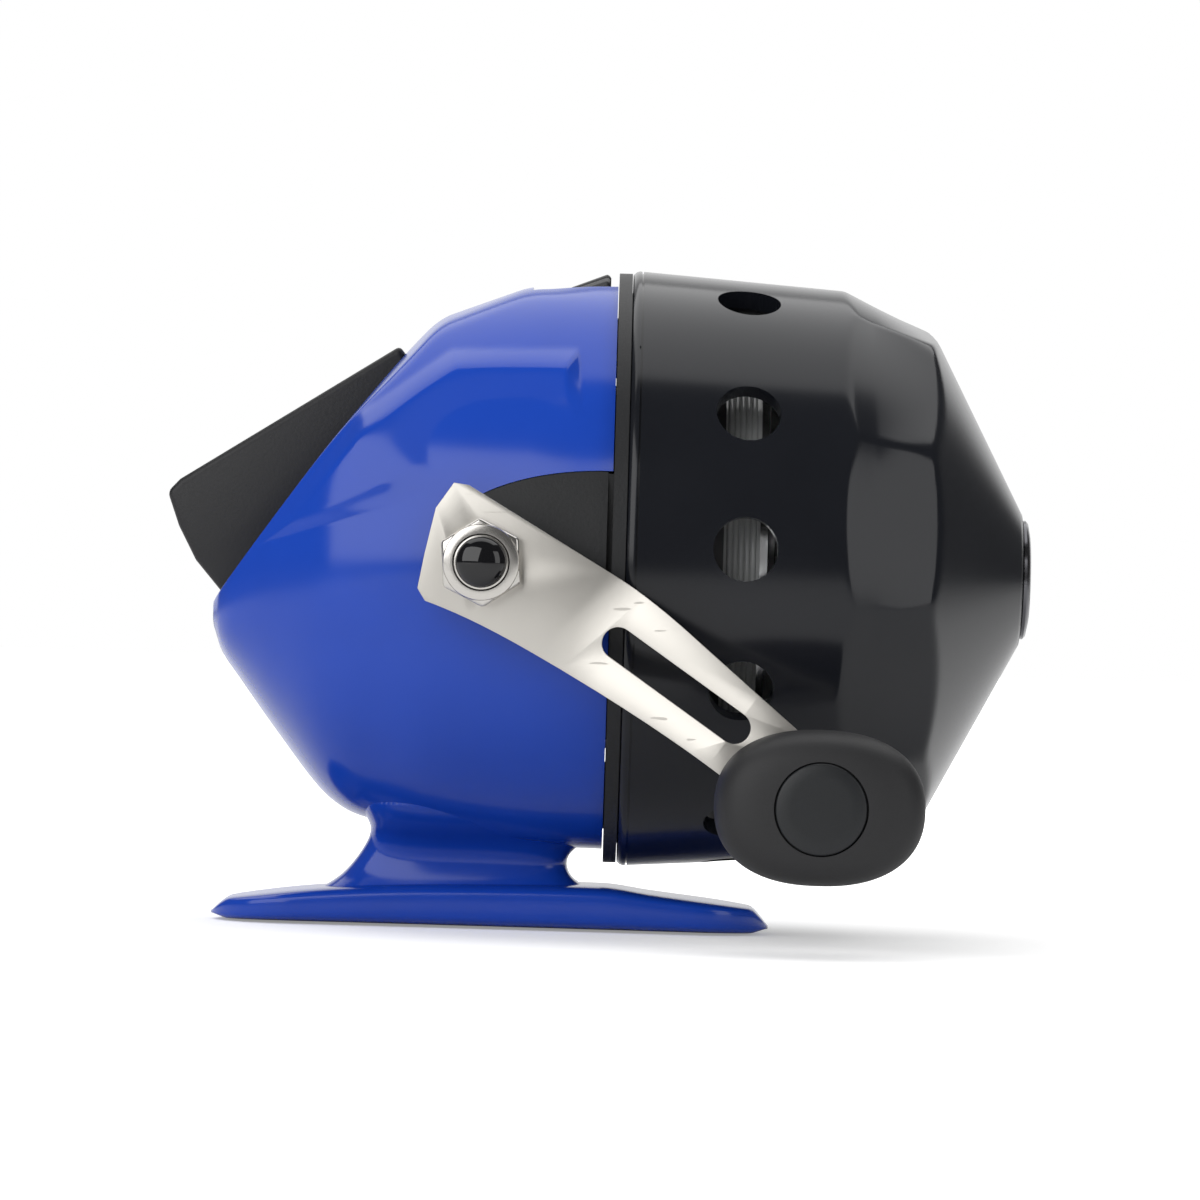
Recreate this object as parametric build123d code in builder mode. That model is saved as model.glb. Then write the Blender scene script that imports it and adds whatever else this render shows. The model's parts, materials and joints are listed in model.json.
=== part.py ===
"""Spincast fishing reel with a thumb button, a stamped crank handle and a closed face.

The frame: +X points the way the line leaves, +Y away from the handle, +Z up, millimetres.
The origin is the middle of the foot's flat underside, where the reel seats on a rod.
The reel axis runs along X at axis_height; the crank axis crosses it along Y.
"Along" is a station forward of the deck flange's rear face, "up" a height over the reel
axis, and "out" a distance from the reel's middle plane towards the handle.
"""

import os
from math import cos, hypot, pi, radians, sin, tan

from build123d import *

# ---------------------------------------------------------------- driving dimensions
stem_drop = 8.5  # lowest point of the round body to the foot's underside
deck_x = 12.0  # rear face of the deck flange, ahead of the foot's middle

# rear cover, stem and foot
body_radius = 30.3  # rear cover's round front end
body_depth = 41.6  # rear cover, front edge to its rearmost point
body_gap = 0.6  # seam between the rear cover and the deck flange
body_wall = 2.0
cheek_stand = 2.4  # how far the raised cheeks stand over the rounded form
foot_length = 60.0
foot_width = 17.0
foot_tip = 2.2  # thickness of each toe's tip
foot_root = 4.6  # thickness of the foot at the stem
stem_length = 20.3
stem_width = 10.0
stem_along = -14.2  # middle of the stem
boss_inset = 3.1  # screw posts' circle inside the rear cover's wall
boss_radius = 3.5
boss_length = 13.0
screw_radius = 1.25
screw_head_radius = 2.4
screw_head_height = 1.6
screw_count = 4

# thumb button, in the sloping rear face of the cover
slope_angle = 54.0  # the sloping face, from level
slope_top = (-22.3, 22.6)  # along and up of the opening's upper end
opening_length = 33.1
opening_corner = 0.5
button_width = 17.0
button_side_gap = 0.4
button_end_gap = 0.45
button_wall = 2.0
button_travel = 12.0  # degrees
button_corner = 1.2
pivot_down = 2.6  # pivot from the opening's upper end, down the slope
pivot_deep = 1.52  # pivot under the sloping face
pin_radius = 1.0
barrel_radius = 2.1

# deck
flange_lip = 1.4  # deck flange beyond the rear cover
flange_thickness = 1.4
plate_thickness = 2.4
spigot_wall = 2.0
spigot_length = 6.0
hub_radius = 8.0
hub_end = 17.4
hub_seat = 7.9  # where the spool's hub runs against the deck
register_length = 1.8  # rim behind the flange that centres the rear cover
register_wall = 1.2
bracket_thickness = 2.0  # bracket that carries the shaft's rear end
window_beyond = 4.55  # crank window behind the crank axis
window_height = 8.1  # half height
window_up = 1.8
window_gap = 0.08
boss_inside = 4.9  # outer end of the boss's thick part, inside the body's radius
bush_length = 5.0

# front cover
cover_lip = 0.3  # front cover beyond the deck flange
cover_draft = 1.5  # how much smaller the plain length is at its front end
cover_plain_end = 24.1  # end of the plain length
cover_facets = 10
facet_phase = 10.3  # first facet's middle, above the handle side
facet_slope = 26.0
facet_round = 0.95  # how far the cone between two facets stands over them
cone_along = 34.1  # where the nose cone starts
cone_drop = 4.6  # and how much smaller the cover is there than at its plain end
nose_start = (44.0, 7.1)
cover_wall = 2.2
port_radius = 3.35
port_along = 13.8
port_phase = 4.05  # middle of the first group of three, above the handle side
port_step = 27.8
port_groups = 4
ports_per_group = 3
lug_count = 3
lug_height = 1.1
lug_length = 2.4
lug_angle = 9.0
lug_along = 3.2
cover_twist = 24.0
slip_fit = 0.2  # between pieces that slide over each other by hand
guide_radius = 6.4
guide_bore = 1.6
guide_stem_radius = 4.2
guide_dome = 0.9

# gear train
gear_module = 0.9
pinion_teeth = 8
gear_teeth = 26
tooth_share = 0.30  # tooth thickness at the pitch line, as a share of the pitch
tooth_top = 0.72  # tooth beyond the pitch line
tooth_foot = 0.95  # tooth inside the pitch line
tooth_draft = 22.0
gear_face = 2.3
gear_gap = 0.55  # from the crown wheel's rim to the deck and to the bracket
gear_thickness = 2.2
ratchet_teeth = 12
ratchet_radius = 7.6
ratchet_depth = 1.4
ratchet_thickness = 1.8
pawl_along = 9.95  # pawl's pivot, ahead of the crank axis
pawl_up = 2.67
pawl_pin_radius = 0.9
layer_gap = 0.25  # between the turning ratchet and the fixed boss

# shafts and their fits
shaft_radius = 1.75
crankshaft_radius = 2.5
bush_wall = 0.85
running_fit = 0.05
press_gap = 0.02  # between pieces that are pressed or keyed together

# handle
crank_throw = 42.5
handle_angle = 34.2  # below level, at rest
arm_gap = 1.0  # from the front cover to the arm's inner face
handle_thickness = 1.5
handle_joggle = 4.2
joggle_start = 13.0
joggle_end = 31.0
handle_slot = (14.6, 32.6)
handle_slot_width = 3.3
handle_slot_offset = 1.5
nut_flats = 8.0
nut_height = 3.4
collar_radius = 4.6
cap_radius = 2.7
knob_length = 21.4
knob_height = 15.8
knob_depth = 12.0
knob_cap_radius = 4.7
rivet_radius = 1.5

# spool, line and spinner
flange_rear = (10.2, 11.6)  # the spool's rear flange, along
flange_front = (15.4, 16.2)  # the polished front flange, along
spool_core_radius = 12.0
spool_hub_radius = 10.0
line_depth = 1.6  # line's surface inside the spool's rim
spinner_inset = 5.8  # spinner inside the front cover's radius
spinner_rear = 17.2
spinner_front = 25.4
spinner_wall = 1.2
spinner_hub_radius = 5.0
pickup_along = 20.6
pickup_radius = 0.9
pickup_stand = 0.7  # pickup pin's tip beyond the spinner

# drag dial
dial_stand = 1.5  # dial's rim over the rear cover
dial_radius = 8.8
dial_rear_radius = 6.8
dial_rear = -5.6
dial_front = -1.1
dial_slot = 8.0  # half width of its slot in the rear cover
dial_flutes = 24
shoe_half = 2.5
shoe_front = 9.85

# ---------------------------------------------------------------- derived places
pitch_radius = gear_module * pinion_teeth / 2
gear_pitch_radius = gear_module * gear_teeth / 2
gear_radius = gear_pitch_radius + gear_face / 2
crank_along = -gear_radius - gear_gap
bracket_along = crank_along - gear_radius - gear_gap
axis_height = body_radius + stem_drop
flange_radius = body_radius + flange_lip
cover_radius = flange_radius + cover_lip
cover_front_radius = cover_radius - cover_draft
cone_start = (cone_along, cover_front_radius - cone_drop)
spigot_radius = cover_radius - cover_wall - slip_fit
boss_circle = body_radius - body_wall - boss_inset
boss_end = body_radius - boss_inside
bush_outer = boss_end - bush_length - 0.4
window_length = -crank_along - body_gap + window_beyond
handle_out = cover_radius + arm_gap
spinner_radius = cover_radius - spinner_inset
spool_radius = spinner_radius - spinner_wall
line_radius = spool_radius - line_depth
pickup_reach = spinner_radius + pickup_stand
dial_up = body_radius + dial_stand - dial_radius
mesh_along = crank_along + gear_pitch_radius
gear_tip_out = pitch_radius - tooth_top
gear_root_out = pitch_radius + tooth_foot
ratchet_out = gear_root_out + gear_thickness
boss_out = ratchet_out + ratchet_thickness + layer_gap
pawl_pivot = (crank_along + pawl_along, pawl_up)
slope_down = Vector(-cos(radians(slope_angle)), 0, -sin(radians(slope_angle)))
slope_out = Vector(-sin(radians(slope_angle)), 0, cos(radians(slope_angle)))
reel_axis = Axis((0, 0, axis_height), (1, 0, 0))


def at(along, up, out=0.0):
    """A point from its station, its height over the reel axis and its distance out."""
    return Vector(deck_x + along, -out, axis_height + up)


def across(along):
    """Plane square to the reel axis; its own x is towards the handle, its own y is up."""
    return Plane(at(along, 0), x_dir=(0, -1, 0), z_dir=(-1, 0, 0))


def facing(along):
    """Plane square to the reel axis that looks forward; its own y is up."""
    return Plane(at(along, 0), x_dir=(0, 1, 0), z_dir=(1, 0, 0))


def side(out):
    """Plane parallel to the reel's middle, looking towards the handle; x is along, y is up."""
    return Plane(at(0, 0, out), x_dir=(1, 0, 0), z_dir=(0, -1, 0))


def crank_plane(out, turn=0.0):
    """Plane square to the crank axis, turned about it, looking towards the handle."""
    angle = radians(turn)
    return Plane(at(crank_along, 0, out), x_dir=(cos(angle), 0, sin(angle)), z_dir=(0, -1, 0))


def on_slope(depth):
    """Plane parallel to the sloping face, its origin at the opening's upper end."""
    start = at(*slope_top) - slope_out * depth
    return Plane(start, x_dir=(0, 1, 0), z_dir=slope_out)


def ring(plane, outer, inner, length):
    """Round tube, or a rod where inner is zero, standing on a plane."""
    with BuildPart() as piece:
        with BuildSketch(plane):
            Circle(outer)
            if inner:
                Circle(inner, mode=Mode.SUBTRACT)
        extrude(amount=length)
    return piece.part


def turned(*profile):
    """Solid of revolution about the reel axis from (along, radius) points."""
    with BuildPart() as piece:
        with BuildSketch(side(0)):
            with BuildLine():
                Polyline(*profile, close=True)
            make_face()
        revolve(axis=reel_axis)
    return piece.part


def block(along, up, out):
    """Box between two stations, two heights and two distances out."""
    middle = at(sum(along) / 2, sum(up) / 2, sum(out) / 2)
    with BuildPart() as piece:
        with Locations(middle):
            Box(along[1] - along[0], out[1] - out[0], up[1] - up[0])
    return piece.part


def plate(points, out, thickness):
    """Flat plate parallel to the middle plane from (along, up) points."""
    with BuildPart() as piece:
        with BuildSketch(side(out)):
            Polygon(*points, align=None)
        extrude(amount=thickness)
    return piece.part


def save(shape, label):
    """Write one finished piece as a node of its own."""
    shape.label = label
    export_step(shape, f"parts/{label}.step")
    print(label, len(shape.solids()), round(shape.volume, 1))


os.makedirs("parts", exist_ok=True)

# ---------------------------------------------------------------- rear cover
# share of the depth, then top, bottom, half width and middle as shares of body_radius
body_sections = (
    (0.0, 1.0, 1.0, 1.0, 0.0),
    (0.20, 0.992, 0.99, 0.99, 0.0),
    (0.44, 0.885, 0.955, 0.945, -0.015),
    (0.72, 0.66, 0.83, 0.80, -0.05),
    (0.89, 0.36, 0.51, 0.60, -0.10),
    (0.972, 0.08, 0.335, 0.44, -0.13),
    (1.0, -0.12, 0.275, 0.36, -0.19),
)


def rounded_form(grow, rear_grow, lead):
    """The rear cover's rounded form, grown outwards, its front end moved by lead."""
    with BuildPart() as form:
        for share, top, bottom, half, middle in body_sections:
            front_lead = lead if share == 0 else 0
            station = -body_gap - share * (body_depth + rear_grow) + front_lead
            extra = grow if share < 0.8 else rear_grow
            wide = half * body_radius + extra
            with BuildSketch(facing(station)):
                with BuildLine():
                    centre = (0, middle * body_radius)
                    upper = (top - middle) * body_radius + extra
                    lower = (bottom + middle) * body_radius + extra
                    EllipticalCenterArc(centre, wide, upper, start_angle=0, arc_size=180)
                    EllipticalCenterArc(centre, wide, lower, start_angle=180, arc_size=180)
                make_face()
        loft()
    return form.part


def behind_slope(depth):
    """Everything outside the sloping face, moved inwards by depth."""
    with BuildPart() as piece:
        with BuildSketch(on_slope(depth)):
            Rectangle(200, 200)
        extrude(amount=60)
    return piece.part


def cheek():
    """Raised five-sided panel on the handle side, leaning in at the top and to the rear."""
    outline = ((-17.5, 22.4), (-4.0, 22.8), (-3.2, 11.7), (-12.2, 9.3), (-26.1, 4.9), (-37.5, -3.5))
    lean = Plane(at(-12.2, 9.3, body_radius - 1.3), x_dir=(1, 0.23, 0), z_dir=(-0.22, -0.92, 0.33))
    with BuildPart() as panel:
        with BuildSketch(side(8)):
            Polygon(*outline, align=None)
        extrude(amount=body_radius)
        with BuildSketch(lean):
            Rectangle(120, 120)
        extrude(amount=30, mode=Mode.SUBTRACT)
        top = panel.faces().sort_by(Axis.Y)[0]
        chamfer(top.edges(), 1.1)
        add(rounded_form(cheek_stand, cheek_stand, 0), mode=Mode.INTERSECT)
    return panel.part


def foot_and_stem():
    """The stem and the two-toed foot, drawn from the side and then from above."""
    half = foot_length / 2
    toe_rear = -deck_x - half
    toe_front = toe_rear + foot_length
    low = -axis_height
    rear = stem_along - stem_length / 2
    front = stem_along + stem_length / 2
    outline = (
        (toe_rear, low),
        (toe_front, low),
        (toe_front, low + foot_tip),
        (toe_front - 14, low + foot_root),
        (front + 3, low + foot_root + 0.8),
        (front + 0.6, low + foot_root + 2.4),
        (front + 1.5, low + 9.4),
        (front + 1.5, low + stem_drop + 4.5),
        (rear - 1, low + stem_drop + 4.5),
        (rear - 1, low + 9.5),
        (rear - 2.2, low + foot_root + 1.6),
        (rear - 5, low + foot_root),
        (toe_rear + 4, low + foot_tip + 1.2),
        (toe_rear, low + foot_tip),
    )
    with BuildPart() as piece:
        with BuildSketch(side(-foot_width / 2)):
            Polygon(*outline, align=None)
        extrude(amount=foot_width)
        with BuildSketch(Plane.XY):
            SlotOverall(foot_length, foot_width)
        extrude(amount=axis_height, mode=Mode.INTERSECT)
        for hand in (-1, 1):
            with BuildSketch(Plane.XY.offset(foot_root + 0.8)):
                with Locations((0, hand * (stem_width / 2 + 10))):
                    Rectangle(2 * foot_length, 20)
            extrude(amount=axis_height, mode=Mode.SUBTRACT)
    return piece.part


def screw_bosses():
    """Posts inside the rear cover that take the deck screws."""
    with BuildPart() as posts:
        with BuildSketch(across(0)):
            with PolarLocations(boss_circle, screw_count, start_angle=45):
                Circle(boss_radius)
                Circle(screw_radius, mode=Mode.SUBTRACT)
        extrude(amount=boss_length)
    return posts.part


def pivot_pads():
    """Thickened pads at both sides of the opening that hold the pivot pin."""
    inner = button_width / 2 + button_side_gap
    with BuildPart() as pads:
        with BuildSketch(on_slope(0.3)):
            for hand in (-1, 1):
                with Locations((hand * (inner + 2), pivot_down)):
                    Rectangle(4, 5.4)
        extrude(amount=-4.2)
    return pads.part


pivot = at(*slope_top) + slope_down * pivot_down - slope_out * pivot_deep
pivot_plane = Plane(pivot, x_dir=(1, 0, 0), z_dir=(0, -1, 0))


def pivot_rod(radius, half_length):
    """Round bar on the thumb button's pivot axis."""
    with BuildPart() as rod:
        with BuildSketch(pivot_plane):
            Circle(radius)
        extrude(amount=half_length, both=True)
    return rod.part


def crank_window(gap, inner_out):
    """The half-ellipse that the crank boss fills, as a bar out towards the handle."""
    with BuildPart() as bar:
        with BuildSketch(side(inner_out)):
            with Locations((-body_gap, window_up)):
                Ellipse(window_length - gap, window_height - gap)
            with Locations((50, 0)):
                Rectangle(100, 100, mode=Mode.SUBTRACT)
        extrude(amount=30)
    return bar.part


with BuildPart() as rear_cover:
    add(rounded_form(0, 0, 0))
    add(cheek())
    add(cheek().mirror(Plane.XZ))
    add(behind_slope(0), mode=Mode.SUBTRACT)
    add(foot_and_stem())
    with BuildPart(mode=Mode.PRIVATE) as cavity:
        add(rounded_form(-body_wall, -body_wall, 1.0))
        add(behind_slope(body_wall), mode=Mode.SUBTRACT)
    add(cavity.part, mode=Mode.SUBTRACT)
    with BuildPart(mode=Mode.PRIVATE) as inside:
        add(screw_bosses())
        add(rounded_form(-body_wall / 2, -body_wall / 2, 1.0), mode=Mode.INTERSECT)
    add(inside.part)
    add(pivot_pads())
    with BuildSketch(on_slope(8)):
        with Locations((0, opening_length / 2)):
            RectangleRounded(button_width + 2 * button_side_gap, opening_length, opening_corner)
    extrude(amount=20, mode=Mode.SUBTRACT)
    add(pivot_rod(pin_radius, button_width / 2 + 3.5), mode=Mode.SUBTRACT)
    add(crank_window(0, bush_outer - 2), mode=Mode.SUBTRACT)
    add(block((-9.2, 0), (dial_up, body_radius + 10), (-dial_slot, dial_slot)), mode=Mode.SUBTRACT)
save(rear_cover.part, "rear_cover")
save(pivot_rod(pin_radius, button_width / 2 + 3.5), "pivot_pin")

# ---------------------------------------------------------------- deck
def gear_boss():
    """Boss that carries the crankshaft and fills the crank window flush."""
    with BuildPart() as boss:
        with BuildSketch(crank_plane(boss_out)):
            Circle(6.2)
        extrude(amount=boss_end - boss_out)
        add(block((crank_along, 0), (-4.6, 6.4), (boss_out, boss_end)))
        with BuildPart(mode=Mode.PRIVATE) as plug:
            add(crank_window(window_gap, bush_outer))
            add(rounded_form(0, 0, 0), mode=Mode.INTERSECT)
        add(plug.part)
        heights = (window_up - window_height + 0.3, window_up + window_height - 0.3)
        add(block((-body_gap - 0.1, 0), heights, (bush_outer, body_radius - 1.6)))
    return boss.part


def crank_bore():
    """Stepped bore along the crank axis: two bush seats and a close hole at the outside."""
    seat = crankshaft_radius + running_fit + bush_wall
    with BuildPart() as bore:
        add(ring(crank_plane(0), seat, 0, bush_outer + bush_length))
        add(ring(crank_plane(bush_outer), crankshaft_radius + 0.1, 0, body_radius))
    return bore.part


def shaft_bracket():
    """Rail and crossbar that carry the rear end of the centre shaft."""
    rear = bracket_along - bracket_thickness
    with BuildPart() as bracket:
        add(block((rear, 0), (-4, 4), (-11, -6)))
        add(block((rear, bracket_along), (-4, 4), (-11, 4)))
    return bracket.part


def dial_cage():
    """Arm and upright that hold the rear end of the drag dial."""
    with BuildPart() as cage:
        add(block((-8.6, 0), (11.4, 13.6), (-2.5, 2.5)))
        add(block((-8.6, -6.9), (11.4, dial_up + 2.6), (-2.5, 2.5)))
    return cage.part


def register_rim():
    """Rim behind the flange that centres the rear cover, open at its screw posts and the dial."""
    outer = body_radius - body_wall - slip_fit
    with BuildPart() as rim:
        with BuildSketch(across(0)):
            Circle(outer)
            Circle(outer - register_wall, mode=Mode.SUBTRACT)
            with PolarLocations(boss_circle, screw_count, start_angle=45):
                Circle(boss_radius + slip_fit, mode=Mode.SUBTRACT)
            with Locations((0, body_radius)):
                Rectangle(2 * dial_radius + 1, body_radius, mode=Mode.SUBTRACT)
        extrude(amount=register_length)
    return rim.part


def lug_slots():
    """L-shaped slots through the spigot that the front cover's lugs turn in."""
    half = lug_angle / 2 + 0.8
    runs = (
        (-half, cover_twist + half, lug_along - 0.15, lug_along + lug_length + 0.15),
        (cover_twist - half, cover_twist + half, lug_along, plate_thickness + spigot_length + 1),
    )
    with BuildPart() as slots:
        for start, stop, rear, front in runs:
            with BuildSketch(across(front)):
                for lug in range(lug_count):
                    turn = lug * 360 / lug_count
                    with BuildLine():
                        reach = spigot_radius * 1.3
                        angles = [turn + start + (stop - start) * step / 4 for step in range(5)]
                        rim = [(reach * cos(radians(a)), reach * sin(radians(a))) for a in angles]
                        Polyline((0, 0), *rim, close=True)
                    make_face()
                Circle(spigot_radius - lug_height - 0.25, mode=Mode.SUBTRACT)
            extrude(amount=front - rear)
    return slots.part


with BuildPart() as deck:
    add(turned((0, 0), (flange_thickness, 0), (flange_thickness, flange_radius), (0, flange_radius)))
    add(ring(facing(0), spigot_radius, 0, plate_thickness))
    add(ring(facing(0), spigot_radius, spigot_radius - spigot_wall, plate_thickness + spigot_length))
    add(ring(facing(0), hub_radius + 3, 0, hub_seat))
    add(ring(facing(0), hub_radius, 0, hub_end))
    add(gear_boss())
    add(shaft_bracket())
    add(dial_cage())
    add(register_rim())
    add(lug_slots(), mode=Mode.SUBTRACT)
    add(crank_bore(), mode=Mode.SUBTRACT)
    with BuildSketch(Plane(at(*pawl_pivot, boss_out - 1), x_dir=(1, 0, 0), z_dir=(0, -1, 0))):
        Circle(pawl_pin_radius)
    extrude(amount=6, mode=Mode.SUBTRACT)
    sleeve_seat = shaft_radius + 2 * running_fit + 2 * bush_wall
    add(ring(facing(-0.1), sleeve_seat, 0, hub_end + 1), mode=Mode.SUBTRACT)
    shaft_seat = shaft_radius + running_fit + bush_wall
    add(ring(facing(bracket_along - 5), shaft_seat, 0, 8), mode=Mode.SUBTRACT)
    with BuildSketch(facing(-0.1)):
        with PolarLocations(boss_circle, screw_count, start_angle=45):
            Circle(screw_radius)
        with Locations((0, dial_up)):
            Rectangle(2 * shoe_half + 0.1, 2 * shoe_half + 0.1)
    extrude(amount=5, mode=Mode.SUBTRACT)
    add(ring(Plane(at(-9, dial_up), z_dir=(1, 0, 0)), 1.55, 0, 3), mode=Mode.SUBTRACT)
save(deck.part, "deck")

bush_seat = crankshaft_radius + running_fit + bush_wall
with BuildPart() as crank_bushings:
    add(ring(crank_plane(boss_out), bush_seat, crankshaft_radius + running_fit, bush_length))
    add(ring(crank_plane(bush_outer), bush_seat, crankshaft_radius + running_fit, bush_length))
save(crank_bushings.part, "crank_bushings")
sleeve_bore = shaft_radius + running_fit + bush_wall + running_fit
save(ring(facing(0), sleeve_seat, sleeve_bore, 12), "pinion_bushing")
bracket_rear = bracket_along - bracket_thickness
save(ring(facing(bracket_rear), shaft_seat, shaft_radius + running_fit, bracket_thickness), "shaft_bushing")

with BuildPart() as deck_screws:
    with BuildSketch(across(plate_thickness)):
        with PolarLocations(boss_circle, screw_count, start_angle=45):
            Circle(screw_radius)
    extrude(amount=plate_thickness + 10)
    with BuildSketch(facing(plate_thickness)):
        with PolarLocations(boss_circle, screw_count, start_angle=45):
            Circle(screw_head_radius)
    extrude(amount=screw_head_height)
    with BuildSketch(facing(plate_thickness + screw_head_height - 0.9)):
        with PolarLocations(boss_circle, screw_count, start_angle=45):
            Rectangle(2.6, 0.6)
            Rectangle(0.6, 2.6)
    extrude(amount=2, mode=Mode.SUBTRACT)
save(deck_screws.part, "deck_screws")

# ---------------------------------------------------------------- front cover
facet_run = cone_start[0] - cover_plain_end
facet_fall = tan(radians(facet_slope))
nose_fall = (cone_start[1] - nose_start[1]) / (nose_start[0] - cone_start[0])


def outer_face():
    """The cover's outer form before its ports: a drum, a faceted cone and a smooth nose."""
    drum_fall = (cover_radius - cover_front_radius) / (cover_plain_end - 2.0)
    top = cover_front_radius + facet_round
    meet = cover_plain_end + facet_round / (facet_fall - drum_fall)
    meet_radius = top - (meet - cover_plain_end) * facet_fall
    corner_radius = top - facet_run * facet_fall
    corner_step = (corner_radius - cone_start[1]) / (nose_fall - facet_fall)
    with BuildPart() as cover:
        add(turned(
            (flange_thickness + 0.1, 0),
            (flange_thickness + 0.1, cover_radius - 0.4),
            (flange_thickness + 0.5, cover_radius),
            (meet, meet_radius),
            (cone_start[0] + corner_step, corner_radius - corner_step * facet_fall),
            nose_start,
            (nose_start[0], 0),
        ))
        for facet in range(cover_facets):
            turn = radians(facet_phase + facet * 360 / cover_facets)
            outward = Vector(
                sin(radians(facet_slope)),
                -cos(turn) * cos(radians(facet_slope)),
                sin(turn) * cos(radians(facet_slope)),
            )
            start = at(cover_plain_end, cover_front_radius * sin(turn), cover_front_radius * cos(turn))
            with BuildSketch(Plane(start, z_dir=outward)):
                Rectangle(80, 80)
            extrude(amount=20, mode=Mode.SUBTRACT)
    return cover.part


def inner_face():
    """The hollow inside the front cover."""
    facet_inset = cover_wall / cos(radians(facet_slope))
    nose_inset = cover_wall * hypot(1, nose_fall)
    facet_line = cover_front_radius - facet_inset
    nose_line = cone_start[1] - nose_inset
    lead = (facet_line - nose_line - facet_run * facet_fall) / (nose_fall - facet_fall)
    meet = cone_start[0] - lead
    meet_radius = facet_line - (meet - cover_plain_end) * facet_fall
    end = nose_start[0] - cover_wall
    return turned(
        (0, 0),
        (0, cover_radius - cover_wall),
        (plate_thickness + spigot_length + 1, cover_radius - cover_wall),
        (cover_plain_end - 0.5, facet_line),
        (cover_plain_end, facet_line),
        (meet, meet_radius),
        (end, nose_line - (end - cone_start[0]) * nose_fall),
        (end, 0),
    )


def cover_ports():
    """Round ports in groups of three, the three of a group drilled parallel."""
    with BuildPart() as ports:
        for group in range(port_groups):
            for place in range(ports_per_group):
                shift = (place - 1) * port_step
                turn = radians(port_phase + group * 360 / port_groups + shift)
                axis = Vector(0, -cos(turn), sin(turn))
                with BuildSketch(Plane(at(port_along, 0), x_dir=(1, 0, 0), z_dir=axis)):
                    Circle(port_radius)
                extrude(amount=cover_radius + 5)
    return ports.part


def cover_lugs():
    """Inward lugs that lock in the deck's slots."""
    with BuildPart() as lugs:
        with BuildSketch(across(lug_along + lug_length)):
            Circle(cover_radius - 0.5)
            Circle(spigot_radius - lug_height, mode=Mode.SUBTRACT)
        extrude(amount=lug_length)
        with BuildSketch(across(lug_along + lug_length)):
            for lug in range(lug_count):
                half = radians(lug_angle / 2)
                turn = radians(lug * 360 / lug_count)
                tips = [(40 * cos(turn + a), 40 * sin(turn + a)) for a in (-half, 0, half)]
                Polygon((0, 0), *tips, align=None)
        extrude(amount=lug_length, mode=Mode.INTERSECT)
    return lugs.part


with BuildPart() as front_cover:
    add(outer_face())
    add(inner_face(), mode=Mode.SUBTRACT)
    add(cover_lugs())
    add(cover_ports(), mode=Mode.SUBTRACT)
    add(ring(facing(30), guide_stem_radius, 0, 20), mode=Mode.SUBTRACT)
save(front_cover.part, "front_cover")

guide_profile = (
    (nose_start[0] - cover_wall - 0.8, guide_bore + 1.2),
    (nose_start[0] - cover_wall - 0.8, guide_stem_radius),
    (nose_start[0], guide_stem_radius),
    (nose_start[0], guide_radius),
    (nose_start[0] + 0.35, guide_radius),
    (nose_start[0] + guide_dome, guide_bore + 2.0),
    (nose_start[0] + guide_dome - 0.2, guide_bore + 1.0),
    (nose_start[0] - 0.5, guide_bore),
    (nose_start[0] - 1.6, guide_bore),
)
save(turned(*guide_profile), "line_guide")

brake_rear = 29.9
brake_drop = (brake_rear - cover_plain_end) * facet_fall
brake_outer = cover_front_radius - cover_wall / cos(radians(facet_slope)) - brake_drop
brake_depth = 2.6
save(
    turned(
        (brake_rear, brake_outer - 2.2),
        (brake_rear, brake_outer),
        (brake_rear + brake_depth, brake_outer - brake_depth * facet_fall),
        (brake_rear + brake_depth, brake_outer - 2.2),
    ),
    "brake_ring",
)

# ---------------------------------------------------------------- crank
def crown_gear():
    """Crown wheel: a disc with teeth that stand towards the reel's middle."""
    pitch = gear_module * pi
    half = pitch * tooth_share / 2
    spread = tan(radians(tooth_draft))
    with BuildPart() as gear:
        with BuildSketch(crank_plane(gear_root_out)):
            Circle(gear_radius)
            Circle(crankshaft_radius + press_gap, mode=Mode.SUBTRACT)
        extrude(amount=gear_thickness)
        profile = (
            (-half - tooth_foot * spread, gear_root_out),
            (half + tooth_foot * spread, gear_root_out),
            (half - tooth_top * spread, gear_tip_out),
            (-half + tooth_top * spread, gear_tip_out),
        )
        for tooth in range(gear_teeth):
            turn = radians(tooth * 360 / gear_teeth)
            along_tooth = Vector(cos(turn), 0, sin(turn))
            across_tooth = Vector(-sin(turn), 0, cos(turn))
            start = at(crank_along, 0) + along_tooth * (gear_pitch_radius - gear_face / 2)
            with BuildSketch(Plane(start, x_dir=across_tooth, z_dir=along_tooth)):
                Polygon(*profile, align=None)
            extrude(amount=gear_face - 0.15)
        for wide in range(5):
            turn = radians(wide * 72 + 36)
            reach = (crankshaft_radius + ratchet_radius + 2) / 2 + 3.2
            spot = at(crank_along + reach * cos(turn), reach * sin(turn), 0)
            with BuildSketch(Plane(spot, x_dir=(1, 0, 0), z_dir=(0, -1, 0))):
                Circle(1.1)
            extrude(amount=20, mode=Mode.SUBTRACT)
    return gear.part


with BuildPart() as crankshaft:
    add(ring(crank_plane(gear_root_out - 1.1), crankshaft_radius + 0.9, 0, 1.1))
    add(ring(crank_plane(gear_root_out - 1.1), crankshaft_radius, 0, handle_out + 4.6 - gear_root_out))
save(crankshaft.part, "crankshaft")
save(crown_gear(), "drive_gear")

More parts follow.
